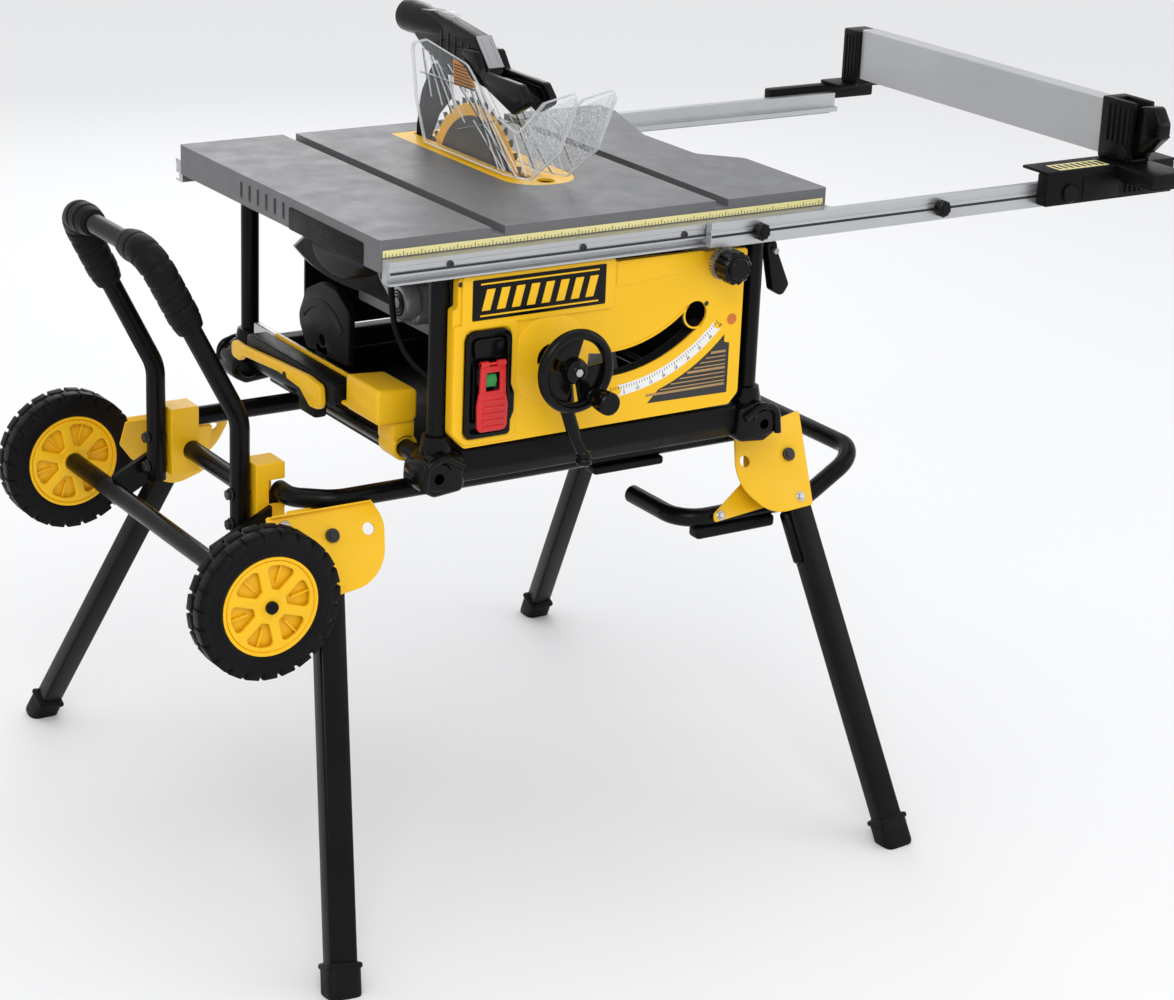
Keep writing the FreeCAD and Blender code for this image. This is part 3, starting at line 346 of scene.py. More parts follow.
def skin(build, rings):
    """Join rings that have the same number of points, and close both ends."""
    for lower, upper in zip(rings, rings[1:]):
        for k in range(len(lower)):
            following = (k + 1) % len(lower)
            build.faces.new((lower[k], lower[following], upper[following], upper[k]))
    build.faces.new(rings[0])
    build.faces.new(rings[-1])
    bmesh.ops.recalc_face_normals(build, faces=build.faces[:])


def knurled(radius, length, place, axis, ribs, depth, chamfer):
    """A fluted grip."""
    end = radius - chamfer
    profile = [(end, 0), (radius, chamfer), (radius, length - chamfer), (end, length)]
    build = bmesh.new()
    steps = ribs * 4
    rings = []
    for base, height in profile:
        ring = []
        for k in range(steps):
            reach = base - (depth if k % 4 in (0, 1) else 0)
            turn = math.tau * k / steps
            ring.append(build.verts.new((reach * math.cos(turn), reach * math.sin(turn), height)))
        rings.append(ring)
    skin(build, rings)
    build.transform(AXES[axis])
    build.transform(Matrix.Translation(Vector(place)))
    return mesh_of(build)


def fillet(before, here, after, radius):
    """The arc that rounds a corner: its centre, and from there its start and its end."""
    back, ahead = (before - here).normalized(), (after - here).normalized()
    half = back.angle(ahead) / 2
    centre = here + (back + ahead).normalized() * (radius / math.sin(half))
    reach = radius / math.tan(half)
    return centre, here + back * reach - centre, here + ahead * reach - centre


def rounded(points, steps=6):
    """Corner points (u, v, radius) as a dense closed outline."""
    dense = []
    corners = [Vector(point[:2]) for point in points]
    for index, (here, point) in enumerate(zip(corners, points)):
        after = corners[(index + 1) % len(corners)]
        centre, start, end = fillet(corners[index - 1], here, after, point[2])
        sweep = start.angle_signed(end)
        dense += [centre + Matrix.Rotation(-sweep * k / steps, 2) @ start for k in range(steps + 1)]
    return dense


def oblong(left, top, right, bottom, radius):
    """A rectangle's corner points, all with one radius."""
    return [(left, top, radius), (right, top, radius), (right, bottom, radius), (left, bottom, radius)]


def circle(u, v, radius, steps=32):
    return [Vector((u + radius * math.cos(math.tau * k / steps), v + radius * math.sin(math.tau * k / steps)))
            for k in range(steps)]


def on_arc(radius, angle):
    """A point of the tilt scale; angles from straight down towards +u."""
    turn = math.radians(angle)
    return Vector((radius * math.sin(turn), -radius * math.cos(turn)))


def arc_band(radius, width, start, end, steps=40):
    """A round-ended band along an arc about the tilt axis."""
    points = [on_arc(radius - width / 2, start + (end - start) * k / steps) for k in range(steps + 1)]
    for angle, sign in ((end, 1), (start, -1)):
        middle = on_arc(radius, angle)
        first = on_arc(radius - sign * width / 2, angle) - middle
        for k in range(1, 10):
            points.append(middle + Matrix.Rotation(math.pi * k / 10, 2) @ first)
        if sign > 0:
            points += [on_arc(radius + width / 2, end + (start - end) * k / steps)
                       for k in range(steps + 1)]
    return points


PLANES = {
    "xz": Matrix(((1, 0, 0, 0), (0, 0, -1, 0), (0, 1, 0, 0), (0, 0, 0, 1))),
    "yz": Matrix(((0, 0, 1, 0), (1, 0, 0, 0), (0, 1, 0, 0), (0, 0, 0, 1))),
}


def wound(outline, outside):
    """The outside runs one way round and the holes the other, so that their rounded edges face out."""
    area = sum(a[0] * b[1] - b[0] * a[1] for a, b in zip(outline, outline[1:] + outline[:1]))
    return outline if (area > 0) == outside else outline[::-1]


def plate(outlines, plane, start, thick, bevel):
    """Outlines (the first is the outside, the rest are holes) thickened from start along the plane's
    normal: -Y for xz, +X for yz."""
    bevel = min(bevel, thick / 2 - 0.01)
    curve = bpy.data.curves.new("outline", "CURVE")
    curve.dimensions = "2D"
    curve.fill_mode = "BOTH"
    curve.extrude = thick / 2 - bevel
    curve.bevel_depth = bevel
    curve.bevel_resolution = 2
    curve.offset = -bevel
    for index, outline in enumerate(outlines):
        outline = wound(outline, index == 0)
        spline = curve.splines.new("POLY")
        spline.points.add(len(outline) - 1)
        for point, place in zip(spline.points, outline):
            point.co = (place[0], place[1], 0, 1)
        spline.use_cyclic_u = True
    holder = bpy.data.objects.new("outline", curve)
    solid = bpy.data.meshes.new_from_object(holder)
    bpy.data.objects.remove(holder)
    bpy.data.curves.remove(curve)
    build = bmesh.new()
    build.from_mesh(solid)
    bpy.data.meshes.remove(solid)
    bmesh.ops.remove_doubles(build, verts=build.verts[:], dist=0.005)
    build.transform(Matrix.Translation((0, 0, start + thick / 2)))
    build.transform(PLANES[plane])
    bmesh.ops.recalc_face_normals(build, faces=build.faces[:])
    return mesh_of(build)


def slab(points, plane, start, thick, bevel):
    """One rounded outline, thickened."""
    return plate([rounded(points)], plane, start, thick, bevel)


def stripe(first, last, width, plane, start, thick, bevel):
    """A straight bar of one width between two points of a plane."""
    first, last = Vector(first), Vector(last)
    across = (last - first).orthogonal().normalized() * width / 2
    return plate([[first + across, first - across, last - across, last + across]], plane, start, thick, bevel)


def bent_line(points, bends, steps=8):
    """Straight runs joined by arcs, as a list of points."""
    points = [Vector(point) for point in points]
    line = [points[0]]
    for before, here, after, radius in zip(points, points[1:], points[2:], bends):
        centre, start, end = fillet(before, here, after, radius)
        turn = start.angle(end)
        for k in range(steps + 1):
            share = k / steps
            line.append(centre + (start * math.sin((1 - share) * turn) + end * math.sin(share * turn))
                        / math.sin(turn))
    line.append(points[-1])
    return line


def tube(line, radius, sides, taper=None):
    """A round tube along a list of points; taper scales the radius from start to end."""
    line = [Vector(point) for point in line]
    build = bmesh.new()
    rings = []
    across = None
    for index, here in enumerate(line):
        before = line[max(index - 1, 0)]
        after = line[min(index + 1, len(line) - 1)]
        ahead = (after - before).normalized()
        if across is None:
            across = ahead.orthogonal().normalized()
        across = (across - ahead * across.dot(ahead)).normalized()
        other = ahead.cross(across)
        reach = radius * (taper(index / (len(line) - 1)) if taper else 1)
        rings.append([build.verts.new(here + (across * math.cos(math.tau * k / sides)
                                              + other * math.sin(math.tau * k / sides)) * reach)
                      for k in range(sides)])
    skin(build, rings)
    return mesh_of(build)


def moved(mesh, matrix):
    """Transform a finished mesh; the matrix works in millimetres about the table's centre."""
    into = Matrix.Translation(ORIGIN) @ Matrix.Scale(MM, 4)
    mesh.transform(into @ matrix @ into.inverted())
    return mesh


def spun(place, axis, degrees):
    """A turn about an axis line through a place, for shapes drawn about the origin."""
    return Matrix.Translation(place) @ Matrix.Rotation(math.radians(degrees), 4, axis)


def hex_bolt(place, axis, radius, height, washer, sign=1):
    """A washer and a hexagon head that stands off along the axis, or against it."""
    under = [(0, 0), (washer, 0), (washer, 1), (washer - 0.8, 1.6), (0, 1.6)]
    head = [(0, 1.5), (radius, 1.5), (radius, height), (radius - 1, height + 0.8), (0, height + 0.8)]
    return [lathe([(r, h * sign) for r, h in profile], place, axis, steps)
            for profile, steps in ((under, 28), (head, 6))]


def piece(name, meshes, material, body, replaces=(), smooth=35):
    """Join shapes into one visible piece that rides on a body."""
    build = bmesh.new()
    for mesh in meshes:
        build.from_mesh(mesh)
        bpy.data.meshes.remove(mesh)
    mesh = bpy.data.meshes.new(name)
    build.to_mesh(mesh)
    build.free()
    mesh.polygons.foreach_set("use_smooth", [True] * len(mesh.polygons))
    mesh.set_sharp_from_angle(angle=math.radians(smooth))
    mesh.materials.append(material)
    thing = bpy.data.objects.new(name, mesh)
    bpy.context.collection.objects.link(thing)
    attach(thing, body)
    if replaces:
        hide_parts(*replaces)
    return thing


def finish_node(name, material, edge=0.0):
    """Give a CAD node its finish, and round its sharp edges by a width in millimetres."""
    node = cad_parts[name]
    if not node.material_slots:
        node.data.materials.append(material)
    for entry in node.material_slots:
        entry.material = material
    if edge:
        weld = node.modifiers.new("weld", "WELD")
        weld.merge_threshold = 0.00001
        bevel = node.modifiers.new("edge", "BEVEL")
        bevel.width = edge * MM
        bevel.segments = 3
        bevel.limit_method = "ANGLE"
        bevel.angle_limit = math.radians(40)
        bevel.harden_normals = False


# The CAD nodes that stay as they are, with the width of their rounded edges where they have any.
NODE_FINISHES = {
    "table_top": (GREY_TABLE, 1.2), "throat_plate": (YELLOW_PLASTIC, 0.8), "fixed_rails": (ALUMINIUM, 0.6),
    "moving_rails": (ALUMINIUM, 0.6), "front_panel": (YELLOW_PLASTIC, 1.2), "rip_fence": (FENCE_METAL, 1.0),
    "handle_brackets": (YELLOW_PAINT, 1.5), "saw_blade": (BLADE,), "arbor_shaft": (STEEL,),
    "riving_knife": (KNIFE_COAT,), "guard_links": (STEEL,), "stand_tubes": (BLACK_PAINT,),
    "handle_tube": (BLACK_PAINT,), "axle": (BLACK_PAINT,), "fasteners": (DARK_STEEL_AND_SHADE,),
    "motor_lead": (RUBBER,), "table_brackets": (CAST,), "rear_cover": (BLACK_PLASTIC,), "tilt_frame": (CAST,),
    "elevation_screw": (STEEL,), "lift_bracket": (CAST,), "gear_case": (CAST,), "motor_armature": (STEEL,)}


# ---------------------------------------------------------------- table, rails and tape

def table():
    tape = [block((-329, -280.1, -21.8), (331, -279.4, -13.2), 0.2, 1)]
    piece("rule_tape", tape, TAPE, "base")
    ticks = []
    for step in range(132):
        x = -326 + 5 * step
        tall = 5.5 if step % 5 == 0 else 3
        ticks.append(block((x, -280.4, -21.5), (x + 0.7, -280, -21.5 + tall), 0))
    piece("rule_ticks", ticks, INK_AND_HOLE_SHADE, "base")
    pod = [(-232, -40.5, 3), (-92, -40.5, 3), (-96, -58, 14), (-114, -70, 16), (-146, -76, 20),
           (-182, -74, 20), (-210, -60, 14), (-220, -50, 8), (-232, -48, 3)]
    recess = [(-240, -12, 4), (-240, -41, 4), (-44, -41, 4), (-44, -12, 4)]
    shell = [slab(pod, "yz", -328, 40, 4), slab(recess, "yz", -334.6, 1.4, 0.5)]
    shell += blocks(((-335, -236, -20), (-333.9, -66, -18.4), 0.4),
                    ((-335, -236, -33), (-333.9, -126, -31.4), 0.4))
    piece("side_pod_shell", shell, BLACK_PLASTIC, "base", ("side_pod",))
    saw = [Vector((150, -47))] + [Vector((150 + 2.5 * k, -50.2 if k % 2 else -53.6)) for k in range(257)]
    teeth = [plate([saw + [Vector((790, -47))]], "xz", -311.3, 9.6, 0.1)]
    piece("rack_teeth", teeth, ALUMINIUM, "fence_rails", smooth=20)
    # Dark strips on the moving rail: one along its face where its groove lies, and notches between the rear
    # rack's teeth; both are painted shade.
    groove_shades = [block((131, -312.75, -39.2), (796, -312.4, -35.8), 0)]
    groove_shades += [block((150 + 5 * k, 301.7, -53.6), (152.4 + 5 * k, 302.1, -50.9), 0) for k in range(128)]
    piece("moving_rail_painted_shade", groove_shades, DARK_STEEL_AND_SHADE, "fence_rails")
    shadow = [block((-329, -299.8, -38.8), (336, -299.3, -36.6), 0)]
    piece("fixed_rail_shadow", shadow, DARK_STEEL_AND_SHADE, "base")
    heads = [screw_head(x, 298.3 * side, -34, side) for side in (-1, 1) for x in (-246, -55, 98, 290)]
    piece("rail_screw_heads", heads, DARK_STEEL_AND_SHADE, "base")


def screw_head(x, y, z, sign):
    """A socket-headed screw in a rail's face."""
    radius = 4.6
    inner = [(0, 0.9), (2.2, 0.9), (2.4, 1.9), (radius - 0.7, 2.0), (radius, 1.3), (radius, 0), (0, 0)]
    return lathe([(r, h * sign) for r, h in inner], (x, y, z), "y", 24)


# ---------------------------------------------------------------- front panel

def text_mesh(words, size):
    """Flat raised figures at the origin, facing the operator."""
    curve = bpy.data.curves.new("figures", "FONT")
    curve.body = words
    curve.size = size
    curve.extrude = 0.12
    curve.align_x = "CENTER"
    curve.align_y = "CENTER"
    holder = bpy.data.objects.new("figures", curve)
    mesh = bpy.data.meshes.new_from_object(holder)
    bpy.data.objects.remove(holder)
    bpy.data.curves.remove(curve)
    build = bmesh.new()
    build.from_mesh(mesh)
    build.transform(PLANES["xz"])
    return mesh_of(build)


PANEL = 284.8
WHEEL_X, WHEEL_Z = -90, -177


def front_panel():
    border = rounded([(-232, -118, 4), (-140, -118, 8), (-140, -275, 8), (-214, -275, 10), (-232, -258, 12)])
    hole = rounded([(-217, -126, 12), (-149, -126, 12), (-149, -267, 6), (-217, -267, 10)])
    dish = [(58, 0), (58, -0.8), (55, -2.4), (20, -2.4), (20, 0)]
    raised = [slab([(-221, -57, 4), (3, -57, 4), (3, -122, 6), (-221, -122, 6)], "xz", PANEL, 3, 1.3),
              plate([border, hole], "xz", PANEL, 3.2, 1.3),
              slab([(6, -62, 6), (140, -62, 6), (150, -86, 8), (6, -96, 6)], "xz", PANEL, 1.2, 0.5),
              lathe(dish, (WHEEL_X, -284.9, WHEEL_Z), "y", 64)]
    piece("panel_mouldings", raised, YELLOW_PLASTIC, "base")

    badge = [slab(oblong(-207, -62, -12, -114, 1.5), "xz", 287.7, 0.9, 0.3)]
    piece("badge_plate", badge, GLOSS_BLACK, "base")
    lines = [block((-196, -289.1, z), (-23, -288.4, z + 2.2), 0.2, 1) for z in (-69, -109.5)]
    for k in range(8):
        left = -194 + 21.6 * k
        slash = [(left, -102), (left + 12, -102), (left + 19, -75), (left + 7, -75)]
        lines.append(plate([slash], "xz", 288.4, 0.7, 0.2))
    piece("badge_stripes", lines, YELLOW_PLASTIC, "base")

    scale = plate([arc_band(235, 15, 3, 46)], "xz", 284.9, 0.5, 0.15)
    piece("bevel_scale", [scale], WHITE_FILM, "base")
    marks = []
    zero, inner = 1, 229.5
    for degree in range(0, 46):
        reach = 6.5 if degree % 5 == 0 else 4
        first, last = on_arc(inner, degree + zero), on_arc(inner + reach, degree + zero)
        marks.append(stripe(first, last, 0.64, "xz", 285.3, 0.3, 0.05))
    for degree in range(5, 46, 5):
        x, z = on_arc(239.2, degree + zero)
        figures = text_mesh(str(degree), 5.2)
        marks.append(moved(figures, spun((x, -285.6, z), "Y", -degree - zero)))
    piece("bevel_scale_marks", marks, INK_AND_HOLE_SHADE, "base")

    label_radius = 254
    edge = [on_arc(label_radius, angle) for angle in range(18, 46, 3)]
    long_side = [point for point in edge if 62 < point[0] < 184]
    label = [(188, -260), (188, -192), (180, -190), *reversed(long_side), (62, -258)]
    piece("dark_label", [plate([label], "xz", 284.9, 0.4, 0.1)], INK_AND_HOLE_SHADE, "base")
    rows = []
    for row in range(9):
        z = -204 - 5.6 * row
        left = math.sqrt(max(label_radius ** 2 - z ** 2, 0)) + 8
        if left < 176:
            rows.append(block((left, -285.5, z), (183, -285.25, z + (1.6 if row % 4 else 3.2)), 0))
    print_ink = finish_of("label_print", (0.42, 0.25, 0.10), 0.5, tint=0.2)
    piece("label_rows", rows, print_ink, "base")
    spot = (190, -285.4, -160)
    disc = [rod(7.5, 0.5, spot, "y", 32), lathe(band(3, 4.6, -0.3, 0.2), spot, "y", 32)]
    piece("round_label", disc, finish_of("label_orange", (0.62, 0.16, 0.02), 0.45), "base")

    slot_run = (-33, 42)
    lip, gap, back, wall = (arc_band(197, width, *slot_run) for width in (38, 34, 40, 35.4))
    rim = plate([lip, gap], "xz", 284.7, 1.6, 0.6)
    # A dark trough behind the slot, where the slot's inside lies in shade: painted shade.
    trough = plate([back, wall], "xz", 262, 20, 0.4)
    piece("bevel_slot_lip", [rim], YELLOW_PLASTIC, "base")
    piece("bevel_slot_painted_shade", [trough], DARK_STEEL_AND_SHADE, "base")
    # Black discs where the panel has holes: painted shade for the holes' dark insides.
    dots = [rod(3.2, 0.6, (x, -285.5, z), "y", 24)
            for x, z in ((-143, -163), (148, -134), (-223, -66), (196, -76))]
    piece("panel_hole_shades", dots, INK_AND_HOLE_SHADE, "base")


def switch():
    outside = rounded([(-216, -127, 14), (-150, -127, 14), (-150, -200, 6), (-145, -212, 8), (-145, -236, 8),
                       (-150, -248, 6), (-150, -266, 6), (-216, -266, 10)])
    opening = rounded([(-209, -134, 10), (-157, -134, 10), (-157, -259, 6), (-209, -259, 6)])
    hood = [(-206, -137, 8), (-160, -137, 8), (-163, -163, 4), (-203, -163, 4)]
    bezel = [plate([outside, opening], "xz", 285, 7.8, 2), slab(hood, "xz", 286, 6.4, 2.4)]
    bezel += blocks(((-213, -286, -262), (-153, -278, -131), 1),
                    ((-203, -258, -256), (-162, -251.2, -136), 2),
                    ((-202, -279, -254), (-163, -257, -138), 1),
                    ((-206, -292.5, -240), (-203.5, -286, -170), 0.8),
                    ((-160.5, -292.5, -240), (-158, -286, -170), 0.8))
    piece("switch_bezel", bezel, GLOSS_BLACK, "base", ("switch_box",))
    frame_outside = rounded([(-200, -171, 3), (-164, -171, 3), (-163, -206, 2), (-201, -206, 2)])
    window = rounded(oblong(-192, -179, -172, -203, 2))
    flap = [(-201, -204, 3), (-163, -204, 3), (-159, -222, 5), (-160, -256, 8), (-203, -256, 8),
            (-204, -222, 5)]
    barrel = [(0, 0), (3.4, 0), (4, 0.8), (4, 11.2), (3.4, 12), (0, 12)]
    paddle = [lathe(barrel, (x, -299, -168), "x", 28) for x in (-200, -176)]
    paddle += [rod(2, 36, (-200, -299, -168), "x", 20), plate([frame_outside, window], "xz", 297.3, 4.5, 1.2),
               slab(flap, "xz", 295.3, 6.2, 2.4)]
    for row in range(5):
        z = -214 - 8.5 * row
        paddle.append(block((-197, -303, z - 4.2), (-165, -300.6, z), 1.1))
    piece("switch_paddle_moulding", paddle, RED, "switch_paddle", ("switch_paddle",))
    cap = [slab(oblong(-189.5, -182, -174.5, -199, 2), "xz", 292.5, 4, 1.2),
           rod(7.8, 5, (-182, -297, -190), "y", 28),
           block((-184.5, -297.1, -195), (-182.5, -296.4, -186), 0.2, 1)]
    piece("start_button_cap", cap, GREEN, "start_button", ("start_button",))


# ---------------------------------------------------------------- wheels, cranks and levers on the front

def handwheel():
    section = [(math.cos(math.tau * k / 20), math.sin(math.tau * k / 20)) for k in range(20)]
    rim = [(47.5 + 7 * u, -6 + 7.4 * v) for u, v in section]
    shapes = [lathe(rim + rim[:1], (WHEEL_X, -340, WHEEL_Z), "y", 72)]
    hub = [(0, -14), (7, -14), (9, -12), (15, -10), (17, -6), (17, 12), (12, 16), (0, 16)]
    shapes.append(lathe(hub, (WHEEL_X, -340, WHEEL_Z), "y", 48))
    for turn, half in ((-36, 42), (108, 36), (216, 42)):
        fan = [(reach, math.radians(turn + side)) for reach, sides in
               ((43, range(-half, half + 1, 6)), (14, range(half, -half - 1, -12))) for side in sides]
        spoke = [(WHEEL_X + reach * math.cos(angle), WHEEL_Z + reach * math.sin(angle))
                 for reach, angle in fan]
        shapes.append(plate([spoke], "xz", 338, 6, 2))
    boss = [(0, -13), (7, -13), (8.6, -11.5), (9.4, 0), (9.4, 4), (0, 4)]
    shapes.append(lathe(boss, (WHEEL_X + 24, -340, WHEEL_Z - 34), "y", 36))
    shapes.append(rod(8, 282, (WHEEL_X, -330, WHEEL_Z), "y", 32))
    shapes.append(lathe([(8, 0), (15, 0), (7, 8), (8, 8)], (WHEEL_X, -59, WHEEL_Z), "y", 24))
    piece("handwheel_moulding", shapes, GLOSS_BLACK, "handwheel", ("handwheel",))
    cap = [(0, 0), (4.4, 0), (5.4, 1), (5.4, 2), (0, 2)]
    piece("handwheel_nut", [lathe([(r, -h) for r, h in cap], (WHEEL_X, -353.6, WHEEL_Z), "y", 6)], STEEL,
          "handwheel")
    grip = [(0, 0), (12.6, 0), (14.6, 2), (15, 5), (14.4, 20), (12, 32), (9.6, 37), (8, 38), (4, 38), (4, 47),
            (0, 47)]
    piece("crank_grip", [lathe(grip, (WHEEL_X + 24, -392, WHEEL_Z - 34), "y", 48)], GLOSS_BLACK, "crank",
          ("crank_handle",))
    arm = bent_line([(WHEEL_X + 2, -317, WHEEL_Z - 14), (WHEEL_X + 8, -318, WHEEL_Z - 62),
                     (WHEEL_X + 18, -322, WHEEL_Z - 96), (WHEEL_X + 30, -327, WHEEL_Z - 122)], [60, 50])
    knob = [(0, 0), (7, 0), (9.6, 1.8), (10.6, 5), (10, 8), (8.4, 10), (10, 12), (10, 16), (8, 19), (0, 20)]
    collar = [(8.1, 0), (15, 0), (17, 2), (17, 10), (15, 12), (8.1, 12), (8.1, 0)]
    lock = [tube(arm, 8.8, 24, lambda share: 1.15 - 0.3 * share),
            lathe(collar, (WHEEL_X, -322, WHEEL_Z), "y", 40),
            lathe(knob, (WHEEL_X + 30, -327, WHEEL_Z - 134), "z", 36)]
    piece("bevel_lock_moulding", lock, GLOSS_BLACK, "bevel_lock", ("bevel_lock_lever",))


def toothed(radius, teeth, place, thick):
    """A small spur gear on an axis that runs along +Y from a place."""
    outline = []
    root = radius - 3
    for k in range(teeth):
        for share, reach in ((0.0, root), (0.28, root), (0.4, radius), (0.68, radius), (0.8, root)):
            turn = math.tau * (k + share) / teeth
            outline.append(Vector((place[0] + reach * math.cos(turn), place[2] + reach * math.sin(turn))))
    return plate([outline], "xz", -place[1] - thick, thick, 0.2)


def rail_controls():
    def along(y):
        return 157, y, -76

    knob = [knurled(22, 24, along(-339), "y", 12, 1.6, 2.5),
            lathe([(0, 0), (13, 0), (14.5, 1.5), (15.5, 5), (0, 5)], along(-343.8), "y", 40),
            rod(13, 6, along(-317), "y", 32)]
    piece("rail_knob_grip", knob, GLOSS_BLACK, "rail_knob", ("rail_knob",))
    shaft = [lathe([(0, 0), (5, 0), (6, 1), (6, 639), (5, 640), (0, 640)], along(-320), "y", 28),
             *(toothed(22.4, 32, along(y), 9) for y in (-311, 302))]
    piece("rail_pinion_shaft", shaft, STEEL, "rail_knob")
    lever = [(257, -69, 6), (274, -69, 6), (277, -84, 20), (299, -132, 7), (288, -148, 8), (272, -138, 8)]
    piece("rail_lock_moulding", [slab(lever, "xz", 246, 16, 2.4)], GLOSS_BLACK, "rail_lock",
          ("rail_lock_lever",))


# ---------------------------------------------------------------- blade, knife and guard

def blade_and_guard():
    spine = [(216, 142, 10), (216, 176, 10), (166, 180, 12), (48, 165, 8), (13, 129, 5), (6, 114, 6),
             (60, 112, 14), (120, 100, 16), (188, 126, 10)]
    shapes = [slab(spine, "yz", -13, 26, 4)]
    port = [(19, 34), (20.5, 34), (23, 31.5), (23, 12), (22.3, 8), (22.3, -4), (21, -12), (17, -60),
            (11, -96), (0, -96), (0, 6), (19, 6), (19, 34)]
    shapes.append(lathe(port, (0, 214, 160), "y", 48))
    fork = [(30, 150, 8), (12, 127, 6), (-86, 127, 10), (-110, 105, 8), (-70, 84, 10), (0, 106, 16),
            (56, 112, 6), (66, 148, 6)]
    fork_rib = [(4, 120, 4), (-80, 120, 6), (-94, 106, 6), (-70, 94, 6), (0, 112, 6)]
    for x in (-24, 13.2):
        shapes += [slab(fork, "yz", x, 10.8, 2.6), slab(fork_rib, "yz", x - 0.6, 12, 0.6)]
    for y in range(60, 150, 18):
        shapes.append(block((-13.8, y, 128), (13.8, y + 6, 152 + (y - 60) * 0.12), 0.8))
    piece("guard_arm_moulding", shapes, GLOSS_BLACK, "lift", ("guard_arm",))
    slope = spun((0, 29.5, 147.8), "X", 46)
    cover = blocks(((-12, -26, -1.2), (12, 25, 1.4), 0.9), ((-7, -20, 1.2), (-5.6, 20, 2.0), 0.3),
                   ((5.6, -20, 1.2), (7, 20, 2.0), 0.3))
    grey = finish_of("grey_moulding", (0.30, 0.30, 0.31), 0.42, bump=0.2)
    piece("guard_arm_cover", [moved(mesh, slope) for mesh in cover], grey, "lift")
    catch = blocks(((-11, 122, 174), (11, 150, 182.6), 2), ((-8, 128, 176), (8, 144, 183), 2))
    piece("guard_arm_catch", catch, CLEAR, "lift")
    side_guard("left", -30, -30.1)
    side_guard("right", 27, 30.1)


def side_guard(side, start, outer_face):
    """A clear side shield: a skin with a rolled rim, a fan of ribs, a pebbled wing and a label; rim and ribs
    are coloured lighter as painted highlight, with near-black strips beside some ribs as painted shade.
    """
    outline = rounded([(190, 134, 10), (176, 60, 8), (150, 3.4, 4), (-66, 3.4, 16), (-128, 10, 10),
                       (-196, 60, 8), (-237, 138, 5), (-230, 145.6, 4), (-158, 118, 10), (-96, 64, 20),
                       (-40, 76, 20), (40, 132, 12), (150, 146, 12)])
    middle = Vector((0, 75))
    inner = [middle + (point - middle) * 0.968 for point in outline]
    holes = [circle(172, 122, 5.1)] if side == "right" else []
    body = f"{side}_guard"
    piece(f"{side}_guard_shield", [plate([outline, *holes], "yz", start + 0.9, 1.2, 0.4)], CLEAR, body,
          (f"{side}_side_guard",))

    def rib(first, last, width=1.2):
        return stripe(first, last, width, "yz", start + 0.4, 2.2, 0.5)

    fans = [((156 - 12 * k, 134 - 4 * k), (132 - 30 * k, 70 - 6 * k)) for k in range(4)]
    fans += [((44 - 16 * k, 124 - 12 * k), (-48 - 16 * k, 8 + 2 * k)) for k in range(4)]
    fans += [((90, 122), (-96, 6)), ((20, 60), (-60, 9)), ((60, 40), (-40, 70))]
    fans += [((-84 - 14 * k, 62 + 12 * k), (-116 - 24 * k, 14 + 14 * k)) for k in range(3)]
    fans += [((160, 100), (10, 100)), ((-92, 62), (-190, 62))]
    # The rolled rim and the ribs take the lighter clear finish, a painted highlight along them.
    light = [rib(*ends) for ends in fans] + [plate([outline, inner], "yz", start, 3, 0.9)]
    piece(f"{side}_guard_ribs_painted_highlight", light, CLEAR_PAINTED_HIGHLIGHT, body)
    # Near-black strips just beside every other rib, offset a little: painted shade.
    dark = [rib((first[0] + 3, first[1] - 2), (last[0] + 6, last[1]), 1.3) for first, last in fans[::2]]
    piece(f"{side}_guard_rib_painted_shades", dark, CLEAR_PAINTED_SHADE, body)
    wing = [(-104, 66, 12), (-160, 110, 8), (-229, 140, 4), (-233, 134, 4), (-194, 64, 8), (-132, 18, 8)]
    piece(f"{side}_guard_wing", [slab(wing, "yz", start - 0.2, 3.4, 0.5)], FROSTED, body)
    near = outer_face if outer_face > start else outer_face - 0.5
    label = slab([(74, 134, 3), (46, 128, 3), (8, 104, 3), (70, 98, 3)], "yz", near, 0.5, 0.1)
    amber = finish_of(f"{side}_amber_label", (0.50, 0.20, 0.03), 0.5, tint=0.2)
    piece(f"{side}_guard_label", [label], amber, body)
    over = near + 0.5 if outer_face > start else near - 0.3
    bars = [block((over, 42 - 4.5 * k, 125.4 - 4.2 * k), (over + 0.3, 70 - 0.4 * k, 127 - 4.2 * k), 0)
            for k in range(7)]
    piece(f"{side}_guard_label_bars", bars, INK_AND_HOLE_SHADE, body)


# ---------------------------------------------------------------- transport wheels

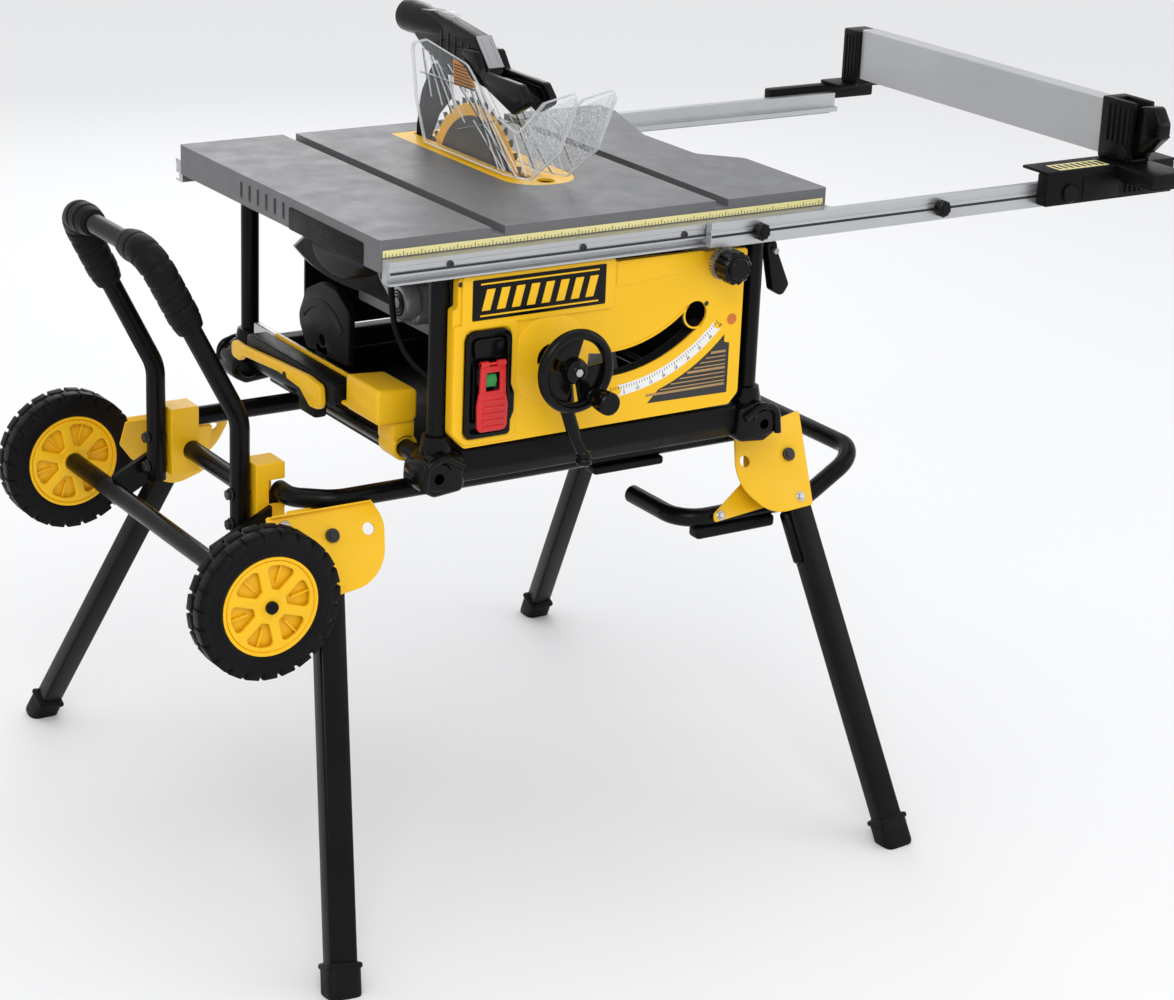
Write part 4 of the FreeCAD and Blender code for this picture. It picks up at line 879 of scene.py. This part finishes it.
def tyre_and_rim(name, side):
    y = -319 if side < 0 else 279
    place = (-496, y, -428)
    section = [(63.5, 3), (66, 1), (73, 0.2), (83, 0.8), (90, 3.5), (93.5, 8), (94, 14), (94, 26), (93.5, 32),
               (90, 36.5), (83, 39.2), (73, 39.8), (66, 39), (63.5, 37), (63.5, 3)]
    shapes = [lathe(section, place, "y", 96)]
    lugs = 24
    for k in range(lugs):
        for offset, low, high in ((0, 0.6, 18.5), (0.5, 21.5, 39.4)):
            tread = block((-10, low + 2, 90), (10, high - (0 if low < 2 else 2), 95.6), 1.4)
            edge = low if low < 2 else high - 8
            shoulder = block((-9.2, edge, 82), (9.2, edge + 8, 93.9), 3)
            for mesh in (tread, shoulder):
                shapes.append(moved(mesh, spun(place, "Y", 360 * (k + offset) / lugs)))
    for radius, height in ((70, -0.1), (70, 40.1), (78, 0.4), (78, 39.6)):
        ring = [(radius + 0.9 * math.cos(math.tau * k / 8), height + 0.9 * math.sin(math.tau * k / 8))
                for k in range(8)]
        ring = [(r, max(0.05, min(39.95, h))) for r, h in ring]
        shapes.append(lathe(ring + ring[:1], place, "y", 96))
    piece(f"{name}_tyre_tread", shapes, TYRE, f"{name}_wheel", (f"{name}_tyre",))

    flange = [(64, 4), (63.6, 1.6), (60.5, 1.4), (59, 3), (57.6, 7), (57.6, 33), (59, 37), (60.5, 38.6),
              (63.6, 38.4), (64, 36), (64, 4)]
    hub = [(8.1, 1), (14, 1), (15.6, 2.6), (16.4, 8), (16.4, 32), (15.6, 37.4), (14, 39), (8.1, 39), (8.1, 1)]
    rims = [lathe(flange, place, "y", 96), lathe(hub, place, "y", 48)]
    pockets = []
    for k in range(6):
        turn = Matrix.Rotation(math.radians(60 * k + 12), 2)
        wedge = rounded([(22, -5, 3), (49, -21, 6), (54, 0, 20), (49, 21, 6), (22, 5, 3)])
        pockets.append([turn @ point + Vector((place[0], place[2])) for point in wedge])
    outside = circle(place[0], place[2], 58.5, 96)
    bore = circle(place[0], place[2], 8.2, 32)
    for start in (-y - 7.5, -y - 38):
        rims.append(plate([outside, bore, *pockets], "xz", start, 5.5, 1.4))
    rims += [plate([outside, bore], "xz", -y - start, 5, 0.4) for start in (16, 31)]
    for k in range(6):
        rims += [moved(block((30, low, -1.2), (56, high, 1.2), 0.8), spun(place, "Y", -60 * k - 12))
                 for low, high in ((5.5, 11), (29, 34.5))]
    piece(f"{name}_rim_moulding", rims, YELLOW_PLASTIC, f"{name}_wheel", (f"{name}_rim",))


# ---------------------------------------------------------------- cage, tray and corner mouldings

def cage():
    posts = [rod(12.5, 240, (x, y, -280), "z", 40) for x in (-238, 238) for y in (-260, 260)]
    posts += [rod(12, 428, (-214, y, -302), "x", 40) for y in (-263, 263)]
    posts += [rod(12, 470, (x, -235, -302), "y", 40) for x in (-242, 242)]
    piece("cage_tubing", posts, BLACK_PAINT, "base", ("cage_tubes",))
    beam = rounded([(-279.5, -283, 5), (-250, -283, 6), (-244, -306, 8), (-248, -330, 10), (-268, -332, 12),
                    (-279.5, -312, 14)])
    rear_beam = [Vector((-point.x, point.y)) for point in beam][::-1]
    beams = [plate([outline], "yz", -212, 424, 4) for outline in (beam, rear_beam)]
    piece("front_beam_cover", beams, BLACK_PLASTIC, "base")
    side = slab([(-284, -54, 6), (262, -54, 6), (262, -276, 14), (-284, -276, 14)], "yz", 203, 4, 1.2)
    piece("right_side_cover", [side], BLACK_PLASTIC, "base")
    corners = []
    for x in (-1, 1):
        for y in (-1, 1):
            corners += corner_moulding(x, y)
    piece("corner_mouldings", corners, GLOSS_BLACK, "base", ("cage_corners",))
    belly = [(-222, -300, 6), (-222, -316, 12), (-150, -334, 60), (0, -338, 200), (150, -334, 60),
             (222, -316, 12), (222, -300, 6)]
    walls = [slab(belly, "xz", start, 14, 3) for start in (-232, 218)]
    walls.append(block((-222, -232, -336), (222, 232, -331), 2))
    walls += [block((x, -232, -334), (x + 4, 232, -300), 1.5) for x in (-222, 218)]
    walls += [block((-200 + 50 * k, -225, -338), (-194 + 50 * k, 225, -335), 1.2) for k in range(9)]
    piece("dust_tray_moulding", walls, BLACK_PLASTIC, "base", ("dust_tray",))


def corner_moulding(x, y):
    """A clamp moulding where a post, the beams and the stand meet: collar, saddle, cheek and a rolled rib."""
    cx, cy = 242 * x, 263 * y
    collar = [(13, 0), (21, 0), (22, 2), (20, 16), (17.5, 28), (13, 30)]
    shapes = [lathe(collar, (238 * x, 260 * y, -292), "z", 40)]
    saddle = rounded([(cx - 31 * x, -286, 8), (cx + 10 * x, -282, 12), (cx + 31 * x, -298, 16),
                      (cx + 33 * x, -326, 14), (cx + 12 * x, -338, 10), (cx - 31 * x, -334, 10)])
    saddle = wound(saddle, True)
    shapes.append(plate([saddle], "xz", -cy - 26, 52, 7))
    cheek = [(0, -4), (17, -4), (22, 0), (24, 6), (24, 44), (20, 50), (0, 52)]
    shapes.append(lathe(cheek, (cx + 8 * x, cy - 24, -310), "y", 44))
    rib_line = bent_line([(cx + 30 * x, cy + 29 * y, -326), (cx + 26 * x, cy + 29 * y, -292),
                          (cx, cy + 29 * y, -284), (cx - 26 * x, cy + 29 * y, -300)], [14, 16])
    shapes.append(tube(rib_line, 5, 14))
    shapes += hex_bolt((cx + 8 * x, cy + 28 * y, -312), "y", 5, 3, 7)
    return shapes


# ---------------------------------------------------------------- motor

def motor():
    axis = (0, 57, -80)
    can = [(36, 0), (40.5, 0), (41, 1), (41, 93), (40.5, 94), (36, 94), (36, 0)]
    shapes = [lathe(can, (-180, 57, -80), "x", 64)]
    for k in range(24):
        shapes.append(moved(block((-172, -1.2, 39), (-92, 1.2, 44), 0.7), spun(axis, "X", 15 * k)))
    collar = [(6.2, 0), (41, 0), (42, 2), (42, 10), (41, 12), (36, 14), (36, 34), (6.2, 34), (6.2, 0)]
    shapes.append(lathe(collar, (-86, 57, -80), "x", 64))
    piece("motor_can", shapes, CAST, "lift", ("motor_housing",))
    cap = [(6.2, 0), (12, 0), (20, 1), (31, 4), (37, 9), (40.5, 16), (41, 22), (39, 24), (6.2, 24), (6.2, 0)]
    parts = [lathe(cap, (-202, 57, -80), "x", 56)]
    for k in range(12):
        parts.append(moved(block((-199, -1.4, 16), (-192, 1.4, 33), 0.6), spun(axis, "X", 30 * k)))
    piece("motor_end_cap", parts, BLACK_PLASTIC, "lift")
    flank = [(60, -110, 10), (20, -112, 10), (-8, -132, 14), (-52, -140, 14), (-56, -190, 16),
             (-10, -196, 16), (56, -150, 16)]
    vent_place = (-170, -34, -160)
    cover = [slab(flank, "yz", -150, 40, 4),
             lathe([(0, 0), (14, 0), (22, 2), (25, 7), (25, 22), (0, 22)], vent_place, "x", 48)]
    cover += [block((-152, -48 + 9 * k, -190), (-149, -44 + 9 * k, -140), 1) for k in range(5)]
    silver = finish_of("silver_casting", (0.50, 0.51, 0.52), 0.38, 0.5, 0.08, 14, 700, 0.3)
    piece("lower_case_cover", cover, silver, "lift")
    vent = [lathe(band(8 + 4 * k, 9.6 + 4 * k, -1.2, 1), vent_place, "x", 40) for k in range(3)]
    vent.append(block((-180, -40, -136), (-140, 0, -118), 5))
    piece("case_vent_rings", vent, BLACK_PLASTIC, "lift")


# ---------------------------------------------------------------- fence

def fence():
    body = blocks(((674.8, -334, -49), (911, -312.5, -4), 3), ((675, -334, -4.6), (911, -280, 0), 1.6),
                  ((800, -407, -20), (866, -332, 0), 3), ((804, -404, -24), (862, -340, -18), 2),
                  ((681, 313.5, -35), (882, 331.5, -11), 3), ((790, 281, -11.4), (882, 331.5, -6), 1.6),
                  ((740, -336, -44), (806, -331, -12), 2), ((880, -336, -44), (905, -331, -10), 2))
    body.append(lathe([(0, 0), (11, 0), (13, 2), (13, 10), (0, 10)], (716, -340.5, -32), "y", 32))
    body += [block((820 + 9 * k, -336, -42), (824 + 9 * k, -330.5, -12), 1) for k in range(5)]
    piece("fence_carriage_mouldings", body, BLACK_PLASTIC, "fence_rails",
          ("fence_carriages",))
    stripes = [block((700, -330, 0), (790, -300, 0.35), 0.1, 1)]
    piece("carriage_badge", stripes, TAPE, "fence_rails")
    bars = [block((704 + 11 * k, -325, 0.3), (709 + 11 * k, -305, 0.6), 0) for k in range(8)]
    piece("carriage_badge_bars", bars, INK_AND_HOLE_SHADE, "fence_rails")

    ends = blocks(((812, -341, 0), (822, -280, 86), 2.5), ((844, -341, 0), (854, -280, 86), 2.5),
                  ((818, -297, 0), (848, -280.4, 86), 2), ((812, -341, 0), (854, -318, 6), 2))
    ends += [lathe([(0, 0), (9, 0), (10, 1), (10, 3), (0, 3)], (x, -330, 14), "x", 28) for x in (809.5, 854)]
    ends.append(rod(4, 46, (810, -330, 14), "x", 24))
    ends += [block((810.6, -338 + 10 * k, 26), (812.6, -334 + 10 * k, 78), 0.8) for k in range(5)]
    ends += blocks(((812, 269, -6), (854, 309, 78), 3), ((824, 309, -6), (844, 323, 34), 2),
                   ((816, 309, 60), (850, 311.5, 74), 1.2))
    ends += [block((810.8, 275 + 8 * k, 4), (812.4, 278 + 8 * k, 70), 0.7) for k in range(4)]
    piece("fence_end_brackets", ends, BLACK_PLASTIC, "fence_rails", ("fence_brackets",))
    knobs = []
    for x in (204, 504):
        knobs.append(knurled(11.5, 12, (x, -326, -36), "y", 10, 1.1, 1.6))
        knobs.append(lathe([(0, 0), (5.5, 0), (6.5, 1.2), (6.5, 3), (0, 3)], (x, -327.8, -36), "y", 6))
    piece("rail_stop_knobs", knobs, GLOSS_BLACK, "fence_rails")
    lever = [(-337, 8, 6), (-323, 8, 6), (-323, 22, 7), (-339, 42, 8), (-345, 82, 8), (-372, 86, 10),
             (-387, 64, 12), (-387, 44, 10), (-362, 20, 10)]
    shapes = [slab(lever, "yz", 822.3, 21.4, 2.6)]
    shapes += [block((822, -386.8 + 0.8 * k, 44 + 6 * k), (844, -382, 47 + 6 * k), 1) for k in range(4)]
    piece("fence_latch_moulding", shapes, GLOSS_BLACK, "fence_latch", ("fence_latch_lever",))


# ---------------------------------------------------------------- stored push stick, mitre gauge and bracket

def stored_things():
    upper = [(-286, -268, 8), (-228, -268, 10), (-228, -224, 7), (-286, -220, 7)]
    clamp = [slab(upper, "xz", 110, 84, 4),
             plate([circle(-242, -302, 18), circle(-242, -302, 12.2)], "xz", 150, 40, 2)]
    clamp += blocks(((-260, -190, -298), (-228, -146, -262), 5),
                    ((-266, -110, -262), (-262.2, 128, -233), 1.2),
                    ((-286, -114, -264), (-228, 140, -259), 1.4),
                    ((-287, -176, -254), (-284, -120, -240), 1.2))
    piece("storage_bracket_moulding", clamp, YELLOW_PLASTIC, "base", ("storage_bracket",))
    case = blocks(((-297, -100, -264), (-266.2, 152, -237), 3),
                  ((-294, -96, -237.6), (-269, 148, -235.6), 0.8),
                  ((-296, -44, -300), (-276, 4, -262), 5),
                  ((-303, -40, -276), (-290, -8, -266), 3))
    case.append(lathe([(0, 0), (4.6, 0), (5, 0.8), (5, 16), (0, 16)], (-308, 20, -256), "x", 24))
    piece("push_stick_cradle", case, BLACK_PLASTIC, "base")
    outline = [(178, -273, 8), (178, -249, 8), (152, -251, 6), (40, -244, 30), (-40, -240, 20),
               (-78, -244, 10), (-81, -276, 12), (-50, -279, 10), (-22, -262, 12), (40, -257, 30),
               (142, -264, 10), (156, -274, 6)]
    groove = [(146, -260.5, 1), (146, -256, 1), (30, -249.5, 2), (30, -252.5, 2)]
    stick = [slab(outline, "yz", -307, 9, 2), slab(groove, "yz", -307.8, 1.4, 0.4),
             block((-308, -70, -266), (-306, -44, -252), 1.2)]
    piece("push_stick_moulding", stick, YELLOW_PLASTIC, "base", ("push_stick",))
    bar = [block((-262, -70, -257), (-252.5, 200, -238), 1),
           block((-259.5, -66, -238.4), (-255, 196, -237.6), 0.3, 1), rod(3, 16, (-252.5, 20, -246), "x", 24)]
    piece("mitre_bar_steel", bar, STEEL, "base", ("mitre_bar",))
    head = rounded([(-54, -232, 5), (-54, -158, 12), (-20, -138, 24), (22, -136, 30), (66, -156, 20),
                    (90, -200, 24), (64, -236, 10)])
    arc = [Vector((20 + radius * math.cos(math.radians(a)), -238 + radius * math.sin(math.radians(a))))
           for radius, angles in ((78, range(40, 141, 5)), (66, range(140, 39, -5))) for a in angles]
    shapes = [plate([head, circle(20, -216, 8)], "yz", -252.3, 10, 2),
              plate([wound(arc, True)], "yz", -253.2, 11.6, 0.8),
              block((-252.3, 5, -253.5), (-242.3, 35, -222), 1),
              lathe([(0, 0), (10, 0), (12, 2), (12, 12), (9, 15), (0, 15)], (-242.4, 20, -190), "x", 32)]
    piece("mitre_head_casting", shapes, BLACK_PLASTIC, "mitre_head", ("mitre_head",))


# ---------------------------------------------------------------- stand

def stand():
    bolts = []
    for y, z in ((-125, -352), (-125, -392), (125, -352), (125, -392)):
        bolts += hex_bolt((-456, y, z), "x", 7, 5.5, 8.5, -1)
    piece("stand_bolts", bolts, DARK_STEEL_AND_SHADE, "base")
    pads = [block((192, y, -488), (322, y + 24, -471), 5, 3) for y in (-234, 183)]
    pads += [block((30, y, -374), (140, y + 26, -362), 4, 3) for y in (-219, 161)]
    for side in (-1, 1):
        corner = bent_line([(-506, 122 * side, -133), (-558, 118 * side, -32), (-558, 48 * side, -32)],
                           [34], 12)
        pads.append(tube(resampled(corner, 90), 20.5, 28, grip_swell))
    piece("grips_and_pads", pads, RUBBER, "base", ("grips_and_rests",), 50)


FLOOR, LEG_PIVOT = -884, -390
LEGS = {"front_left": (-374, -226, -478, -472), "front_right": (331, -226, 381, -472),
        "rear_left": (-374, 196, -478, 472), "rear_right": (331, 196, 381, 472)}


def axes_at(place, across, through, upward):
    return Matrix.Translation(place) @ Matrix((across, through, upward)).transposed().to_4x4()


def cut_at_floor(mesh):
    build = bmesh.new()
    build.from_mesh(mesh)
    geometry = build.verts[:] + build.edges[:] + build.faces[:]
    bmesh.ops.bisect_plane(build, geom=geometry, plane_co=at(0, 0, FLOOR), plane_no=(0, 0, -1),
                           clear_outer=True)
    bmesh.ops.holes_fill(build, edges=[edge for edge in build.edges if edge.is_boundary])
    build.to_mesh(mesh)
    build.free()
    return mesh


def leg_and_foot(name, pivot, foot, outward):
    along = pivot - foot
    length = along.length
    along.normalize()
    frame_matrix = axes_at(pivot, outward.cross(along), outward, along)
    half = 18.5 if pivot.y < 0 else 15.5
    leg = [block((-half, -13, 12 - length), (half, 13, 18), 4, 3)]
    if pivot.x > 0:
        middle = 1 if pivot.y < 0 else -1
        low, high = sorted(((half - 3) * middle, (half + 8) * middle))
        leg.append(block((low, -8, -148), (high, 8, -74), 5, 3))
    piece(f"{name}_leg_tube", [moved(mesh, frame_matrix) for mesh in leg], BLACK_PAINT, f"{name}_leg",
          (f"{name}_leg",))
    cap = [block((-half - 4, -17.5, -length - 9), (half + 4, 17.5, 41 - length), 9, 4),
           block((-half - 4.5, -18, 30 - length), (half + 4.5, 18, 38 - length), 3.5, 3)]
    piece(f"{name}_foot_cap", [cut_at_floor(moved(mesh, frame_matrix)) for mesh in cap], RUBBER,
          f"{name}_leg", (f"{name}_foot",), 50)


LEFT_PLATE = [(-64, 36, 4), (-76, 8, 40), (-62, -66, 58), (20, -76, 40), (60, -40, 20), (83, -8, 10),
              (83, 36, 3)]
LEFT_EAR = [(-30, 42, 4), (40, 42, 4), (40, -50, 14), (0, -70, 30), (-40, -50, 14)]
RIGHT_PLATE = [(-80, 38, 6), (34, 58, 4), (24, -74, 4), (-46, -78, 60), (-94, -26, 60)]
RIGHT_EAR = [(-40, 48, 6), (30, 48, 6), (38, -58, 6), (24, -68, 6), (-30, -64, 20), (-120, -72, 4),
             (-118, -60, 4), (-58, -23, 30)]


def leg_bracket(pivot, outward, up):
    """A pressed plate outside the leg and an ear inside it, with the holes its pins and latch use."""
    across = outward.cross(up)
    side = 1 if pivot.x > 0 else -1
    away = side if across.x > 0 else -side
    frame_matrix = axes_at(pivot, across, outward, up)
    outlines = (LEFT_PLATE, LEFT_EAR) if side < 0 else (RIGHT_PLATE, RIGHT_EAR)
    shapes = []
    for points, offset in zip(outlines, (14.6, -17.6)):
        outline = rounded([(u * away, v, radius) for u, v, radius in points], 10)
        holes = [circle(0, 0, 5)]
        if offset > 0:
            holes.append(circle((-52 if side < 0 else -72) * away, 1, 8))
        shapes.append(plate([outline, *holes], "xz", -offset - 3, 3, 0.9))
    if side < 0:
        low, high = sorted((-60 * away, 78 * away))
        shapes.append(block((low, 15, 33.2), (high, 25, 35.8), 1))
    bolts = [((6, -60), 17.6), ((-108, -64), -14.6)] if side > 0 else [((60, 22), 17.6)]
    heads = []
    for (u, v), y in bolts:
        heads += hex_bolt((u * away, y, v), "y", 5, 4, 7)
    return [moved(mesh, frame_matrix) for mesh in shapes], [moved(mesh, frame_matrix) for mesh in heads]


def legs():
    plates, heads = [], []
    for name, (pivot_x, pivot_y, foot_x, foot_y) in LEGS.items():
        pivot, foot = Vector((pivot_x, pivot_y, LEG_PIVOT)), Vector((foot_x, foot_y, FLOOR))
        down = Vector((0, foot.y - pivot.y, foot.z - pivot.z)).normalized()
        outward = Vector((0, down.z, -down.y)) * (1 if pivot.y < 0 else -1)
        leg_and_foot(name, pivot, foot, outward)
        shapes, bolts = leg_bracket(pivot, outward, -down)
        plates += shapes
        heads += bolts
    piece("leg_bracket_plates", plates, YELLOW_PAINT, "base", ("leg_brackets",))
    piece("leg_bracket_bolts", heads, STEEL, "base")


def resampled(line, count):
    """The same line with evenly spaced points."""
    lengths = [0]
    for before, after in zip(line, line[1:]):
        lengths.append(lengths[-1] + (after - before).length)
    spots, index = [], 0
    for k in range(count):
        goal = lengths[-1] * k / (count - 1)
        while index < len(line) - 2 and lengths[index + 1] < goal:
            index += 1
        share = (goal - lengths[index]) / (lengths[index + 1] - lengths[index])
        spots.append(line[index].lerp(line[index + 1], share))
    return spots


def grip_swell(share):
    """The grip's thickness along its length, as a share of the full radius: closed ends, a full middle
    and moulded grooves."""
    edge = min(share, 1 - share)
    swell = 0.80 + 0.2 * min(1, edge / 0.12)
    groove = 0.09 * max(0, math.cos(share * math.tau * 9)) ** 6
    return (0.7 + 0.3 * min(1, edge / 0.015)) * swell - groove


make_camera()
make_stage()
for node_name, (node_finish, *rounding) in NODE_FINISHES.items():
    finish_node(node_name, node_finish, *rounding)
table()
front_panel()
switch()
handwheel()
rail_controls()
blade_and_guard()
for wheel_name, wheel_side in (("front", -1), ("rear", 1)):
    tyre_and_rim(wheel_name, wheel_side)
cage()
motor()
fence()
stored_things()
stand()
legs()
